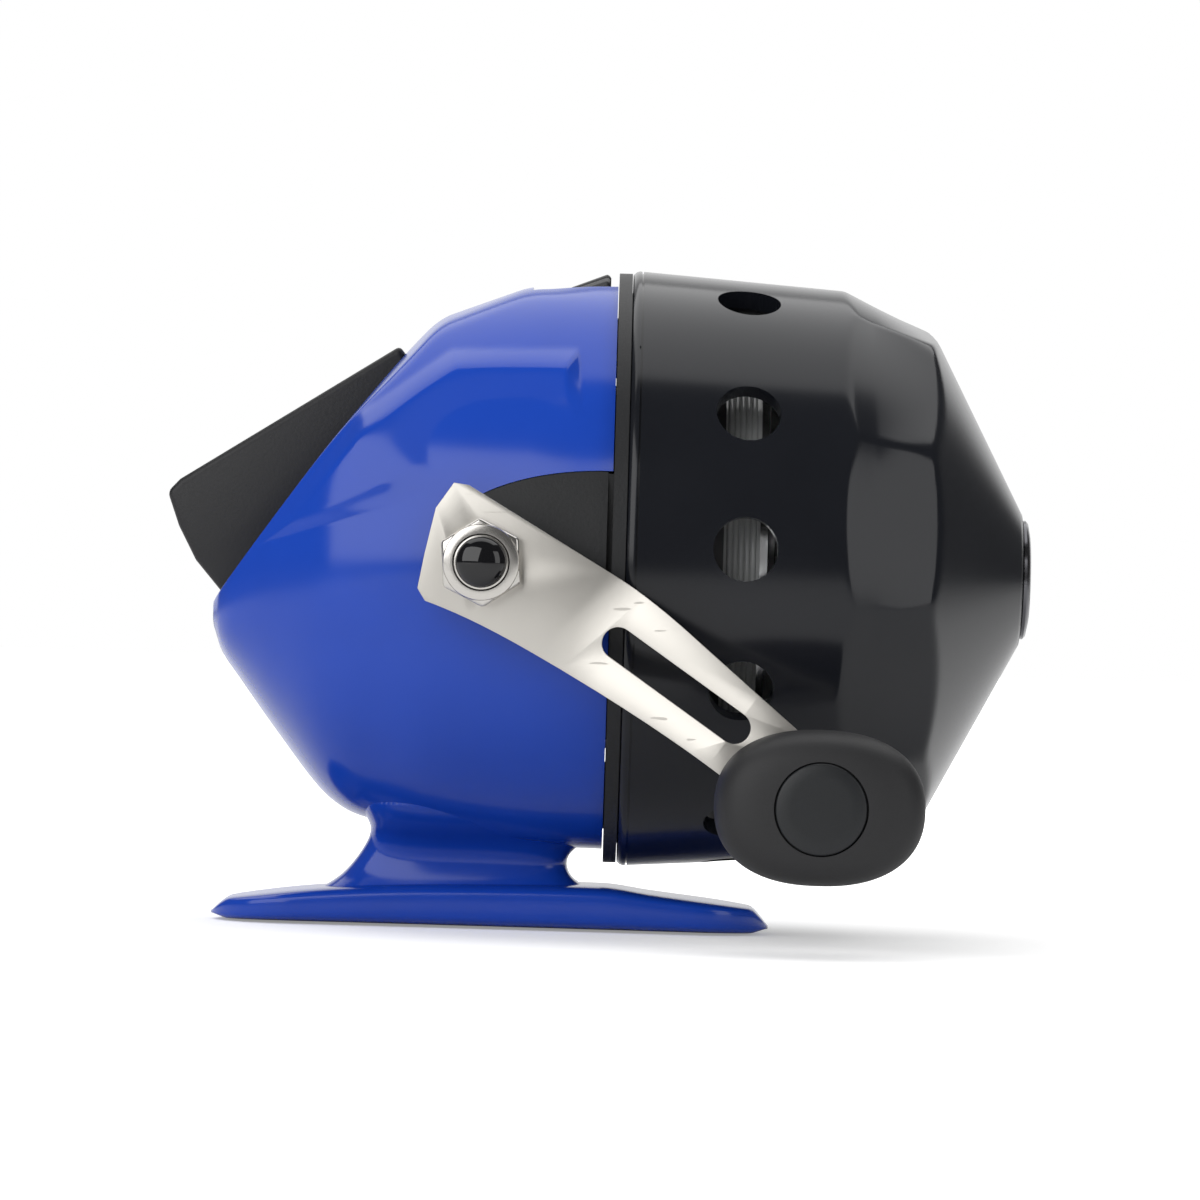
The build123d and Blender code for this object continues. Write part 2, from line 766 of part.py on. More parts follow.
with BuildPart() as ratchet:
    with BuildSketch(crank_plane(ratchet_out)):
        corners = []
        for tooth in range(ratchet_teeth):
            turn = radians(tooth * 360 / ratchet_teeth)
            root = ratchet_radius - ratchet_depth
            corners.append((ratchet_radius * cos(turn), ratchet_radius * sin(turn)))
            corners.append((root * cos(turn), root * sin(turn)))
        Polygon(*corners, align=None)
        Circle(crankshaft_radius + press_gap, mode=Mode.SUBTRACT)
    extrude(amount=ratchet_thickness)
save(ratchet.part, "ratchet")

collar_out = handle_out - 0.6
collar_bore = crankshaft_radius + press_gap
save(ring(crank_plane(collar_out), collar_radius, collar_bore, handle_out - collar_out), "arm_washer")


def arm_outline():
    """The arm's face: a five-cornered hub end and a beam that narrows to the knob."""
    with BuildSketch(crank_plane(0, -handle_angle)) as face:
        with BuildLine():
            hub_top = ((11.4, 6.9), (-5.7, 5.7), (-7.1, 5.0), (-7.1, 1.8))
            hub_low = ((-5.2, -2.9), (-3.8, -6.0), (-2.4, -6.6))
            lower = ((-2.4, -6.6), (1.3, -5.7), (11.4, -4.3), (22.0, -3.5), (32.6, -3.3), (crank_throw, -4.0))
            upper = ((crank_throw, 4.6), (34.0, 5.3), (22.0, 6.6), (14.4, 7.05), (11.4, 6.9))
            Polyline(*hub_top, *hub_low)
            Spline(*lower)
            ThreePointArc(lower[-1], (crank_throw + 4.3, 0.3), upper[0])
            Spline(*upper)
        make_face()
        start, end = handle_slot
        with Locations(((start + end) / 2, handle_slot_offset)):
            SlotOverall(end - start, handle_slot_width, mode=Mode.SUBTRACT)
    return face.sketch


arm_run = Vector(cos(radians(handle_angle)), 0, -sin(radians(handle_angle)))
arm_edge = Plane(at(crank_along, 0), x_dir=arm_run, z_dir=(arm_run.Z, 0, -arm_run.X))
with BuildPart() as handle_arm:
    add(extrude(arm_outline(), amount=2 * handle_out))
    with BuildSketch(arm_edge):
        inner = ((-20, handle_out), (joggle_start, handle_out), (joggle_end, handle_out + handle_joggle))
        ends = ((60, handle_out + handle_joggle), (60, handle_out + handle_joggle + handle_thickness))
        back = (
            (joggle_end, handle_out + handle_joggle + handle_thickness),
            (joggle_start, handle_out + handle_thickness),
            (-20, handle_out + handle_thickness),
        )
        Polygon(*inner, *ends, *back, align=None)
    extrude(amount=40, both=True, mode=Mode.INTERSECT)
    add(ring(crank_plane(0), collar_bore, 0, 2 * handle_out), mode=Mode.SUBTRACT)
    knob_foot = at(crank_along, 0) + arm_run * crank_throw
    rivet_hole = ring(Plane(knob_foot, z_dir=(0, -1, 0)), rivet_radius + press_gap, 0, 2 * handle_out)
    add(rivet_hole, mode=Mode.SUBTRACT)
save(handle_arm.part, "handle_arm")

nut_out = handle_out + handle_thickness
with BuildPart() as handle_nut:
    with BuildSketch(crank_plane(nut_out)):
        RegularPolygon(nut_flats / 2, 6, major_radius=False, rotation=34)
    extrude(amount=nut_height - 0.6)
    add(ring(crank_plane(nut_out), nut_flats / 2 - 0.2, 0, nut_height))
    add(ring(crank_plane(nut_out - 1), collar_bore, 0, nut_height + 3), mode=Mode.SUBTRACT)
    with BuildSketch(crank_plane(nut_out + nut_height - 1.0)):
        Circle(cap_radius + 0.1)
    extrude(amount=2, mode=Mode.SUBTRACT)
save(handle_nut.part, "handle_nut")

cap_seat_out = nut_out + nut_height - 1.0
with BuildPart() as nut_cap:
    add(ring(crank_plane(cap_seat_out), cap_radius, 0, 2.6))
    fillet(nut_cap.faces().sort_by(Axis.Y)[0].edges(), 1.7)
save(nut_cap.part, "nut_cap")

# ---------------------------------------------------------------- knob
def knob_plane(out):
    """Plane square to the knob's axis, out from the middle; x is along, y is up."""
    middle = at(crank_along, 0, out) + arm_run * crank_throw
    return Plane(middle, x_dir=(1, 0, 0), z_dir=(0, -1, 0))


arm_top = handle_out + handle_joggle + handle_thickness
knob_out = arm_top + 0.5
knob_end = knob_out + knob_depth
rivet_end = arm_top + knob_depth - 3
with BuildPart() as knob_rivet:
    add(ring(knob_plane(arm_top - handle_thickness - 0.8), rivet_radius + 1.0, 0, 0.8))
    add(ring(knob_plane(arm_top - handle_thickness), rivet_radius, 0, handle_thickness + knob_depth - 3))
    add(ring(knob_plane(rivet_end), rivet_radius + 1.1, 0, 0.9))
save(knob_rivet.part, "knob_rivet")
with BuildPart() as knob:
    with BuildSketch(knob_plane(knob_out)):
        Ellipse(knob_length / 2, knob_height / 2)
    extrude(amount=knob_depth)
    rims = knob.edges().filter_by(GeomType.ELLIPSE)
    fillet(rims, 3.4)
    add(ring(knob_plane(knob_out - 1), rivet_radius + running_fit, 0, knob_depth), mode=Mode.SUBTRACT)
    add(ring(knob_plane(rivet_end - 0.1), rivet_radius + 1.3, 0, 5), mode=Mode.SUBTRACT)
    add(ring(knob_plane(knob_end - 1.0), knob_cap_radius, 0, 5), mode=Mode.SUBTRACT)
save(knob.part, "knob")
save(ring(knob_plane(knob_end - 1.0), knob_cap_radius, 0, 1.0), "knob_cap")

# ---------------------------------------------------------------- anti-reverse pawl
pawl_plane = Plane(at(*pawl_pivot, ratchet_out + 0.15), x_dir=(1, 0, 0), z_dir=(0, -1, 0))
with BuildPart() as pawl:
    with BuildSketch(pawl_plane):
        Circle(1.9)
        Polygon((1.2, 0.0), (-1.5, 1.0), (-2.5, -5.1), (-2.65, -6.75), (-1.5, -6.4), align=None)
        Circle(pawl_pin_radius + running_fit, mode=Mode.SUBTRACT)
    extrude(amount=ratchet_thickness - 0.3)
save(pawl.part, "pawl")
with BuildPart() as pawl_pin:
    with BuildSketch(Plane(at(*pawl_pivot, ratchet_out), x_dir=(1, 0, 0), z_dir=(0, -1, 0))):
        Circle(pawl_pin_radius)
    extrude(amount=ratchet_thickness + 5)
save(pawl_pin.part, "pawl_pin")

# ---------------------------------------------------------------- pinion and shaft
pinion_rear = mesh_along - gear_face / 2 - 0.5
sleeve_radius = shaft_radius + running_fit + bush_wall
with BuildPart() as pinion:
    with BuildSketch(facing(pinion_rear)):
        Circle(pitch_radius - tooth_foot)
        half = gear_module * pi * tooth_share / 2
        spread = tan(radians(tooth_draft))
        base = pitch_radius - tooth_foot - 0.3
        tooth = (
            (base, half + (tooth_foot + 0.3) * spread),
            (pitch_radius + tooth_top, half - tooth_top * spread),
            (pitch_radius + tooth_top, -half + tooth_top * spread),
            (base, -half - (tooth_foot + 0.3) * spread),
        )
        with PolarLocations(0, pinion_teeth, start_angle=180 + 180 / pinion_teeth):
            Polygon(*tooth, align=None)
    extrude(amount=-0.3 - pinion_rear)
    add(ring(facing(-0.4), sleeve_radius, 0, 16.8))
    add(ring(facing(-10), shaft_radius + running_fit, 0, 40), mode=Mode.SUBTRACT)
save(pinion.part, "pinion")
save(ring(facing(12.15), sleeve_radius + 0.75, sleeve_radius, 0.7), "pinion_clip")

head_rear = -36.95
head_thickness = 0.9
shaft_front = 27.4
with BuildPart() as centre_shaft:
    add(ring(facing(head_rear), shaft_radius + 0.85, 0, head_thickness))
    add(ring(facing(head_rear), shaft_radius, 0, shaft_front - head_rear))
save(centre_shaft.part, "centre_shaft")

cap_rear = -38.2
cap_front = -35.0
cap_outer = 3.5
head_seat = shaft_radius + 0.9
with BuildPart() as thrust_cap:
    with BuildSketch(side(0)):
        with BuildLine():
            ThreePointArc((cap_rear, 0), (cap_rear + 0.35, 1.45), (cap_rear + 1.1, cap_outer - 0.9))
            Polyline(
                (cap_rear + 1.1, cap_outer - 0.9),
                (cap_rear + 1.6, cap_outer),
                (cap_front, cap_outer),
                (cap_front, shaft_radius + running_fit),
                (cap_front - 1.0, shaft_radius + running_fit),
                (cap_front - 1.0, head_seat),
                (head_rear - running_fit, head_seat),
                (head_rear - running_fit, 0),
                (cap_rear, 0),
            )
        make_face()
    revolve(axis=reel_axis)
save(thrust_cap.part, "thrust_cap")

spring_wire = 0.25  # wire radius
spring_radius = 2.8
spring_length = bracket_along - bracket_thickness - cap_front
spring_turns = 3.5
with BuildPart() as return_spring:
    with BuildLine() as coil:
        rise = spring_length - 2 * spring_wire
        coil_start = at(cap_front + spring_wire, 0)
        Helix(rise / spring_turns, rise, spring_radius, center=coil_start, direction=(1, 0, 0))
    with BuildSketch(Plane(coil.edges()[0] @ 0, z_dir=coil.edges()[0] % 0)):
        Circle(spring_wire)
    sweep(is_frenet=True)
save(return_spring.part, "return_spring")

# ---------------------------------------------------------------- spinner
with BuildPart() as spinner:
    add(turned(
        (18.6, 0),
        (18.6, spinner_hub_radius),
        (24.2, spinner_hub_radius),
        (24.2, spinner_radius - 3.8),
        (22.2, spinner_radius - spinner_wall),
        (spinner_rear, spinner_radius - spinner_wall),
        (spinner_rear, spinner_radius),
        (22.6, spinner_radius),
        (spinner_front, spinner_radius - 2.6),
        (spinner_front, 0),
    ))
    add(block((18.9, 24.3), (16.5, 20.0), (-2.2, 2.2)))
    add(ring(facing(10), shaft_radius, 0, 30), mode=Mode.SUBTRACT)
    with BuildSketch(facing(24)):
        with PolarLocations(13, 3, start_angle=30):
            Circle(3.2)
    extrude(amount=3, mode=Mode.SUBTRACT)
    with BuildSketch(Plane(at(pickup_along, 10), z_dir=(0, 0, 1))):
        Circle(pickup_radius + running_fit)
    extrude(amount=30, mode=Mode.SUBTRACT)
save(spinner.part, "spinner")
with BuildPart() as spinner_nut:
    with BuildSketch(facing(spinner_front)):
        RegularPolygon(3.5, 6, major_radius=False)
        Circle(shaft_radius, mode=Mode.SUBTRACT)
    extrude(amount=2.2)
save(spinner_nut.part, "spinner_nut")
with BuildPart() as pickup_pin:
    with BuildSketch(Plane(at(pickup_along, pickup_reach), z_dir=(0, 0, -1))):
        Circle(pickup_radius)
    extrude(amount=11.4)
    with BuildSketch(Plane(at(pickup_along, pickup_reach - 11.0), z_dir=(0, 0, -1))):
        Circle(pickup_radius + 0.8)
    extrude(amount=1.3)
save(pickup_pin.part, "pickup_pin")

# ---------------------------------------------------------------- spool and line
save(
    turned(
        (hub_seat + running_fit, hub_radius + running_fit),
        (16.6, hub_radius + running_fit),
        (16.6, spool_hub_radius),
        (flange_front[0], spool_hub_radius),
        (flange_front[0], spool_core_radius),
        (flange_rear[1], spool_core_radius),
        (flange_rear[1], spool_radius),
        (flange_rear[0], spool_radius),
        (flange_rear[0], spool_hub_radius),
        (hub_seat + running_fit, spool_hub_radius),
    ),
    "spool",
)
flange_plane = facing(flange_front[0])
flange_width = flange_front[1] - flange_front[0]
save(ring(flange_plane, spool_radius, spool_hub_radius, flange_width), "spool_flange")
line_width = flange_front[0] - flange_rear[1] - 2 * press_gap
line_bore = spool_core_radius + press_gap
save(ring(facing(flange_rear[1] + press_gap), line_radius, line_bore, line_width), "line_winding")
save(ring(facing(16.7), hub_radius + 1.8, hub_radius + press_gap, 0.6), "spool_clip")

# ---------------------------------------------------------------- thumb button
pivot_spot = (pivot.X - deck_x, pivot.Z - axis_height)
button_reach = hypot(opening_length - pivot_down, pivot_deep) - button_end_gap
button_front = ((-23.1, 23.0), (-46.2, 8.1), (-47.5, 6.7), (-46.2, 3.1), (-44.3, -0.5))
button_inside = ((-35.0, -5.0), (-34.3, -2.1), (-32.7, 5.7), (pivot_spot[0] + 1.6, pivot_spot[1] - 1.9))


def button_skirt(reach):
    """Arc about the pivot that slides past the lower end of the opening."""
    arc = []
    for step in range(4):
        angle = radians(-128.7 + 3.2 * step)
        arc.append((pivot_spot[0] + reach * cos(angle), pivot_spot[1] + reach * sin(angle)))
    return tuple(arc)


with BuildPart() as thumb_button:
    with BuildSketch(side(-button_width / 2)):
        Polygon(*button_front, *button_skirt(button_reach), *button_inside, align=None)
    extrude(amount=button_width)
    with BuildSketch(side(-button_width / 2 + button_wall)):
        opened = ((-31.0, -9.5), (-28.0, 6.0), (-20.0, 14.0))
        Polygon(*button_front, *button_skirt(button_reach), *opened, align=None)
        offset(amount=-button_wall, mode=Mode.REPLACE)
    extrude(amount=button_width - 2 * button_wall, mode=Mode.SUBTRACT)
    add(pivot_rod(barrel_radius, button_width / 2))
    add(block((-42.6, cap_rear - 0.05), (-1.5, 1.5), (-1.5, 1.5)))
    add(pivot_rod(pin_radius + running_fit, button_width), mode=Mode.SUBTRACT)
save(thumb_button.part, "thumb_button")

# ---------------------------------------------------------------- drag
def dial_plane(along):
    """Plane square to the dial's axis, looking forward."""
    return Plane(at(along, dial_up), x_dir=(0, 1, 0), z_dir=(1, 0, 0))


with BuildPart() as drag_dial:
    with BuildSketch(dial_plane(dial_rear)):
        Circle(dial_rear_radius)
    with BuildSketch(dial_plane(dial_front - 0.3)):
        Circle(dial_radius)
    loft()
    add(ring(dial_plane(dial_front - 0.3), dial_radius, 0, 0.3))
    with BuildSketch(dial_plane(dial_rear - 1)):
        with PolarLocations(dial_radius + 0.15, dial_flutes):
            Circle(0.62)
    extrude(amount=8, mode=Mode.SUBTRACT)
    add(ring(dial_plane(dial_rear - 2.6), 1.5, 0, 13.6))
save(drag_dial.part, "drag_dial")
with BuildPart() as drag_shoe:
    with BuildSketch(dial_plane(-0.8)):
        Rectangle(2 * shoe_half, 2 * shoe_half)
    extrude(amount=9.2)
    add(ring(dial_plane(8.3), 3.2, 0, shoe_front - 8.3))
    add(ring(dial_plane(-1), 1.5 + running_fit, 0, 7.4), mode=Mode.SUBTRACT)
save(drag_shoe.part, "drag_shoe")
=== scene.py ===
"""Looks of a closed-face spincast reel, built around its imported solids.

Laid out as an add-on and run as a script. Sizes are metres in the reel's own frame: +X the way
the line leaves, +Z up from the rod, -Y the handle side.
"""

import json
import math

import bmesh
import bpy
from mathutils import Matrix, Vector

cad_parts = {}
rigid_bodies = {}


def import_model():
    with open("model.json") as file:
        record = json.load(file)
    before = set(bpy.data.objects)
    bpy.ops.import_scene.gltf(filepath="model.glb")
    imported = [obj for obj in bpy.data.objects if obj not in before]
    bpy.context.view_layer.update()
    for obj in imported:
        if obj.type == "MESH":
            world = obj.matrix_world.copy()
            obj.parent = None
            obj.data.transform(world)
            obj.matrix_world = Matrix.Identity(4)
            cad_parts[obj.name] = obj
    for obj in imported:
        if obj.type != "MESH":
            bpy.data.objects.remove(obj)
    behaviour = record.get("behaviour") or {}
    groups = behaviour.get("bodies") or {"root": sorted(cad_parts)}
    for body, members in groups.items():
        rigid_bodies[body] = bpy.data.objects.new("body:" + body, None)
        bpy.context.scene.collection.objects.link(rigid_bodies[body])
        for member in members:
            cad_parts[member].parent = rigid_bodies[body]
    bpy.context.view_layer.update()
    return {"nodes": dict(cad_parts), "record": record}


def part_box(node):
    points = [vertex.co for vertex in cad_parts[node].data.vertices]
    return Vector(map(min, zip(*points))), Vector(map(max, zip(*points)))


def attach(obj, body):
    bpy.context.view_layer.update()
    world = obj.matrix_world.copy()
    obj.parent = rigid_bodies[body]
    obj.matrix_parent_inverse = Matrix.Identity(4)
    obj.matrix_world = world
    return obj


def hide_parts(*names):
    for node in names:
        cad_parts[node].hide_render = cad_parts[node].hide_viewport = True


bl_info = {
    "name": "Spincast reel looks",
    "version": (1, 0, 0),
    "blender": (4, 5, 0),
    "location": "View3D > Sidebar > Reel",
    "description": "Builds the visible shapes and finishes of a spincast reel",
    "category": "Object",
}

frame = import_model()
NODES = frame["nodes"]

MM = 0.001
AXIS_HEIGHT = 0.0388  # reel axis over the foot's underside
DECK_X = 0.012  # rear face of the deck flange
CRANK_ALONG = -13.4  # crank axis, from the flange
HANDLE_ANGLE = math.radians(34.2)
CRANK_THROW = 42.5  # crank axis to knob axis


def spot(along, up, out=0.0):
    """Point in metres from millimetres along, over and out from the reel axis."""
    return Vector((DECK_X + along * MM, -out * MM, AXIS_HEIGHT + up * MM))


# ------------------------------------------------------------------ small maths
def smooth_min(a, b, blend):
    """The smaller of two sizes, rounded where they cross."""
    if blend <= 0:
        return min(a, b)
    share = max(0.0, min(1.0, 0.5 + 0.5 * (b - a) / blend))
    return b + (a - b) * share - blend * share * (1 - share)


def smooth_step(low, high, value):
    """0 below low, 1 above high, and an even rise between."""
    share = max(0.0, min(1.0, (value - low) / (high - low)))
    return share * share * (3 - 2 * share)


def through(points, place):
    """Smooth curve through (place, value) points, with no overshoot between two of them."""
    if place <= points[0][0]:
        return points[0][1]
    for index in range(len(points) - 1):
        (x0, y0), (x1, y1) = points[index], points[index + 1]
        if place <= x1:
            before = points[max(index - 1, 0)]
            after = points[min(index + 2, len(points) - 1)]
            width = x1 - x0
            lead = (y1 - before[1]) / max(x1 - before[0], 1e-9) * width
            tail = (after[1] - y0) / max(after[0] - x0, 1e-9) * width
            t = (place - x0) / width
            return (
                (2 * t**3 - 3 * t**2 + 1) * y0
                + (t**3 - 2 * t**2 + t) * lead
                + (3 * t**2 - 2 * t**3) * y1
                + (t**3 - t**2) * tail
            )
    return points[-1][1]


# ------------------------------------------------------------------ meshes
def object_from(name, bm):
    """Object at the origin from a bmesh, with its normals facing out."""
    bmesh.ops.remove_doubles(bm, verts=bm.verts, dist=1e-7)
    bmesh.ops.recalc_face_normals(bm, faces=bm.faces)
    mesh = bpy.data.meshes.new(name)
    bm.to_mesh(mesh)
    bm.free()
    piece = bpy.data.objects.new(name, mesh)
    bpy.context.scene.collection.objects.link(piece)
    return piece


def cad_copy(name, node):
    """Copy of a CAD node with its loose triangles merged into flat faces."""
    bm = bmesh.new()
    bm.from_mesh(NODES[node].data)
    bmesh.ops.remove_doubles(bm, verts=bm.verts, dist=2e-6)
    bmesh.ops.dissolve_limit(
        bm, angle_limit=math.radians(0.6), verts=bm.verts, edges=bm.edges
    )
    return object_from(name, bm)


def modifier(piece, kind, **settings):
    """Adds a modifier with its settings."""
    added = piece.modifiers.new(kind.lower(), kind)
    for key, value in settings.items():
        setattr(added, key, value)
    return added


def bake(piece, sharp=35):
    """Turns a piece's modifiers into its mesh and shades it smooth up to an angle."""
    bpy.context.view_layer.update()
    graph = bpy.context.evaluated_depsgraph_get()
    mesh = bpy.data.meshes.new_from_object(
        piece.evaluated_get(graph), preserve_all_data_layers=True, depsgraph=graph
    )
    mesh.name = piece.name
    piece.modifiers.clear()
    piece.data = mesh
    for polygon in mesh.polygons:
        polygon.use_smooth = True
    mesh.set_sharp_from_angle(angle=math.radians(sharp))
    return piece


def cut(piece, *cutters):
    """Takes the cutters' shapes out of a piece and removes them."""
    for cutter in cutters:
        modifier(piece, "BOOLEAN", operation="DIFFERENCE", object=cutter, solver="EXACT")
        bake(piece)
        bpy.data.objects.remove(cutter)
    return piece


def bevelled(piece, width, segments=3, angle=28):
    """Rounds a piece's sharp edges."""
    modifier(
        piece,
        "BEVEL",
        width=width,
        segments=segments,
        limit_method="ANGLE",
        angle_limit=math.radians(angle),
        harden_normals=False,
    )
    return bake(piece)


def grid_piece(name, rows, closed_ring=True, caps=(True, True)):
    """Skin over rows of points; each row is a ring when closed_ring is set."""
    bm = bmesh.new()
    made = [[bm.verts.new(point) for point in row] for row in rows]
    count = len(rows[0])
    for lower, upper in zip(made, made[1:]):
        for index in range(count if closed_ring else count - 1):
            after = (index + 1) % count
            bm.faces.new((lower[index], lower[after], upper[after], upper[index]))
    if caps[0]:
        bm.faces.new(made[0])
    if caps[1]:
        bm.faces.new(made[-1])
    return object_from(name, bm)


def lathe(name, profile, start, axis, steps=96, caps=(True, True)):
    """Turned piece from (height, radius) points about an axis from start."""
    axis = Vector(axis).normalized()
    right = axis.orthogonal().normalized()
    up = axis.cross(right)
    rows = []
    for height, radius in profile:
        ring = []
        for step in range(steps):
            turn = 2 * math.pi * step / steps
            ring.append(start + axis * height + (right * math.cos(turn) + up * math.sin(turn)) * radius)
        rows.append(ring)
    return grid_piece(name, rows, caps=caps)


def in_metres(profile):
    """A profile's (height, radius) points, given in millimetres, in metres."""
    return [(height * MM, radius * MM) for height, radius in profile]


def prism(name, outline, low, high, place):
    """Straight prism over a closed outline; place turns (a, b, height) into a point."""
    rows = [[place(a, b, low) for a, b in outline], [place(a, b, high) for a, b in outline]]
    return grid_piece(name, rows)


def ride_as(piece, body, nodes, slot):
    """Puts a finished piece on its body, over the CAD nodes that it stands for."""
    piece.data.materials.clear()
    piece.data.materials.append(MATERIALS[slot])
    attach(piece, body)
    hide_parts(*nodes)
    return piece


# ------------------------------------------------------------------ materials
def node_group(name, inputs, outputs):
    """Empty shader group with named sockets; returns the group with its two end nodes."""
    group = bpy.data.node_groups.new(name, "ShaderNodeTree")
    for label, kind, default in inputs:
        made = group.interface.new_socket(label, in_out="INPUT", socket_type=kind)
        made.default_value = default
    for label, kind in outputs:
        group.interface.new_socket(label, in_out="OUTPUT", socket_type=kind)
    return group, group.nodes.new("NodeGroupInput"), group.nodes.new("NodeGroupOutput")


def noise(tree, coordinates, scale, detail=4.0, roughness=0.55):
    """Noise node on the given coordinates."""
    made = tree.nodes.new("ShaderNodeTexNoise")
    tree.links.new(coordinates, made.inputs["Vector"])
    if isinstance(scale, (int, float)):
        made.inputs["Scale"].default_value = scale
    else:
        tree.links.new(scale, made.inputs["Scale"])
    made.inputs["Detail"].default_value = detail
    made.inputs["Roughness"].default_value = roughness
    return made.outputs["Fac"]


def maths(tree, operation, first, second=0.0, clamp=False):
    """Math node from sockets or numbers."""
    made = tree.nodes.new("ShaderNodeMath")
    made.operation = operation
    made.use_clamp = clamp
    for socket, value in zip(made.inputs, (first, second)):
        if isinstance(value, (int, float)):
            socket.default_value = value
        else:
            tree.links.new(value, socket)
    return made.outputs[0]


def build_skin_group():
    """Moulded surface: fine grain for the bump, with slow drift in roughness and shade."""
    inputs = (
        ("Vector", "NodeSocketVector", (0, 0, 0)),
        ("Grain", "NodeSocketFloat", 900.0),
        ("Roughness", "NodeSocketFloat", 0.4),
        ("Drift", "NodeSocketFloat", 0.06),
    )
    outputs = (
        ("Height", "NodeSocketFloat"), ("Roughness", "NodeSocketFloat"), ("Shade", "NodeSocketFloat")
    )
    group, start, end = node_group("moulded skin", inputs, outputs)
    fine = noise(group, start.outputs["Vector"], start.outputs["Grain"], 2.0)
    slow = noise(group, start.outputs["Vector"], 60.0, 3.0)
    centred = maths(group, "SUBTRACT", slow, 0.5)
    drift = maths(group, "MULTIPLY", centred, start.outputs["Drift"])
    group.links.new(fine, end.inputs["Height"])
    rough = maths(group, "ADD", start.outputs["Roughness"], drift, clamp=True)
    group.links.new(rough, end.inputs["Roughness"])
    group.links.new(maths(group, "ADD", slow, 0.0, clamp=True), end.inputs["Shade"])
    return group


def build_scratch_group():
    """Fine handling scratches: thin lines in two directions, as a mask."""
    inputs = (("Vector", "NodeSocketVector", (0, 0, 0)), ("Amount", "NodeSocketFloat", 0.5))
    group, start, end = node_group("handling scratches", inputs, (("Mask", "NodeSocketFloat"),))
    masks = []
    for turn, stretch in ((0.5, 40.0), (-0.9, 55.0)):
        mapping = group.nodes.new("ShaderNodeMapping")
        mapping.inputs["Rotation"].default_value = (turn, turn * 0.6, turn * 1.7)
        mapping.inputs["Scale"].default_value = (stretch, 1200.0, 1200.0)
        group.links.new(start.outputs["Vector"], mapping.inputs["Vector"])
        lines = noise(group, mapping.outputs["Vector"], 1.0, 1.0)
        masks.append(maths(group, "GREATER_THAN", lines, 0.74))
    both = maths(group, "MAXIMUM", masks[0], masks[1])
    group.links.new(maths(group, "MULTIPLY", both, start.outputs["Amount"]), end.inputs["Mask"])
    return group


class Paint:
    """A material under construction: its tree, its main shader and its coordinates."""

    def __init__(self, name):
        self.material = bpy.data.materials.new(name)
        self.material.use_nodes = True
        self.tree = self.material.node_tree
        self.shader = self.tree.nodes["Principled BSDF"]
        self.place = self.tree.nodes.new("ShaderNodeTexCoord").outputs["Object"]

    def set(self, **values):
        """Sets plain values on the main shader's sockets."""
        for key, value in values.items():
            self.shader.inputs[key.replace("_", " ")].default_value = value

    def group(self, group, **values):
        """Places a node group with its own values."""
        made = self.tree.nodes.new("ShaderNodeGroup")
        made.node_tree = group
        for key, value in values.items():
            made.inputs[key].default_value = value
        self.tree.links.new(self.place, made.inputs["Vector"])
        return made

    def two_colours(self, low, high, mask):
        """Base colour that moves between two shades with a mask."""
        ramp = self.tree.nodes.new("ShaderNodeMix")
        ramp.data_type = "RGBA"
        ramp.inputs["A"].default_value = (*low, 1)
        ramp.inputs["B"].default_value = (*high, 1)
        self.tree.links.new(mask, ramp.inputs["Factor"])
        self.tree.links.new(ramp.outputs["Result"], self.shader.inputs["Base Color"])

    def bump(self, height, strength, distance):
        """Bump from a height."""
        made = self.tree.nodes.new("ShaderNodeBump")
        made.inputs["Strength"].default_value = strength
        made.inputs["Distance"].default_value = distance
        self.tree.links.new(height, made.inputs["Height"])
        self.tree.links.new(made.outputs["Normal"], self.shader.inputs["Normal"])


MATERIALS = {}
GROUPS = {}


def moulded(name, low, high, roughness, grain, strength, drift=0.08, coat=0.0, specular=0.5):
    """Moulded plastic or rubber: two shades, grain and drifting roughness."""
    paint = Paint(name)
    skin = paint.group(GROUPS["skin"], Grain=grain, Roughness=roughness, Drift=drift)
    paint.two_colours(low, high, skin.outputs["Shade"])
    paint.tree.links.new(skin.outputs["Roughness"], paint.shader.inputs["Roughness"])
    paint.set(Specular_IOR_Level=specular, Coat_Weight=coat, Coat_Roughness=0.04)
    paint.bump(skin.outputs["Height"], strength, 0.00005)
    return paint


def metal(name, low, high, roughness, grain, strength, drift=0.12, scratches=0.25):
    """Bare or plated metal with drifting roughness and fine scratches."""
    paint = Paint(name)
    skin = paint.group(GROUPS["skin"], Grain=grain, Roughness=roughness, Drift=drift)
    marks = paint.group(GROUPS["scratches"], Amount=scratches)
    paint.two_colours(low, high, skin.outputs["Shade"])
    rough = maths(paint.tree, "ADD", skin.outputs["Roughness"], marks.outputs["Mask"], clamp=True)
    paint.tree.links.new(rough, paint.shader.inputs["Roughness"])
    paint.set(Metallic=1.0)
    paint.bump(skin.outputs["Height"], strength, 0.00004)
    return paint


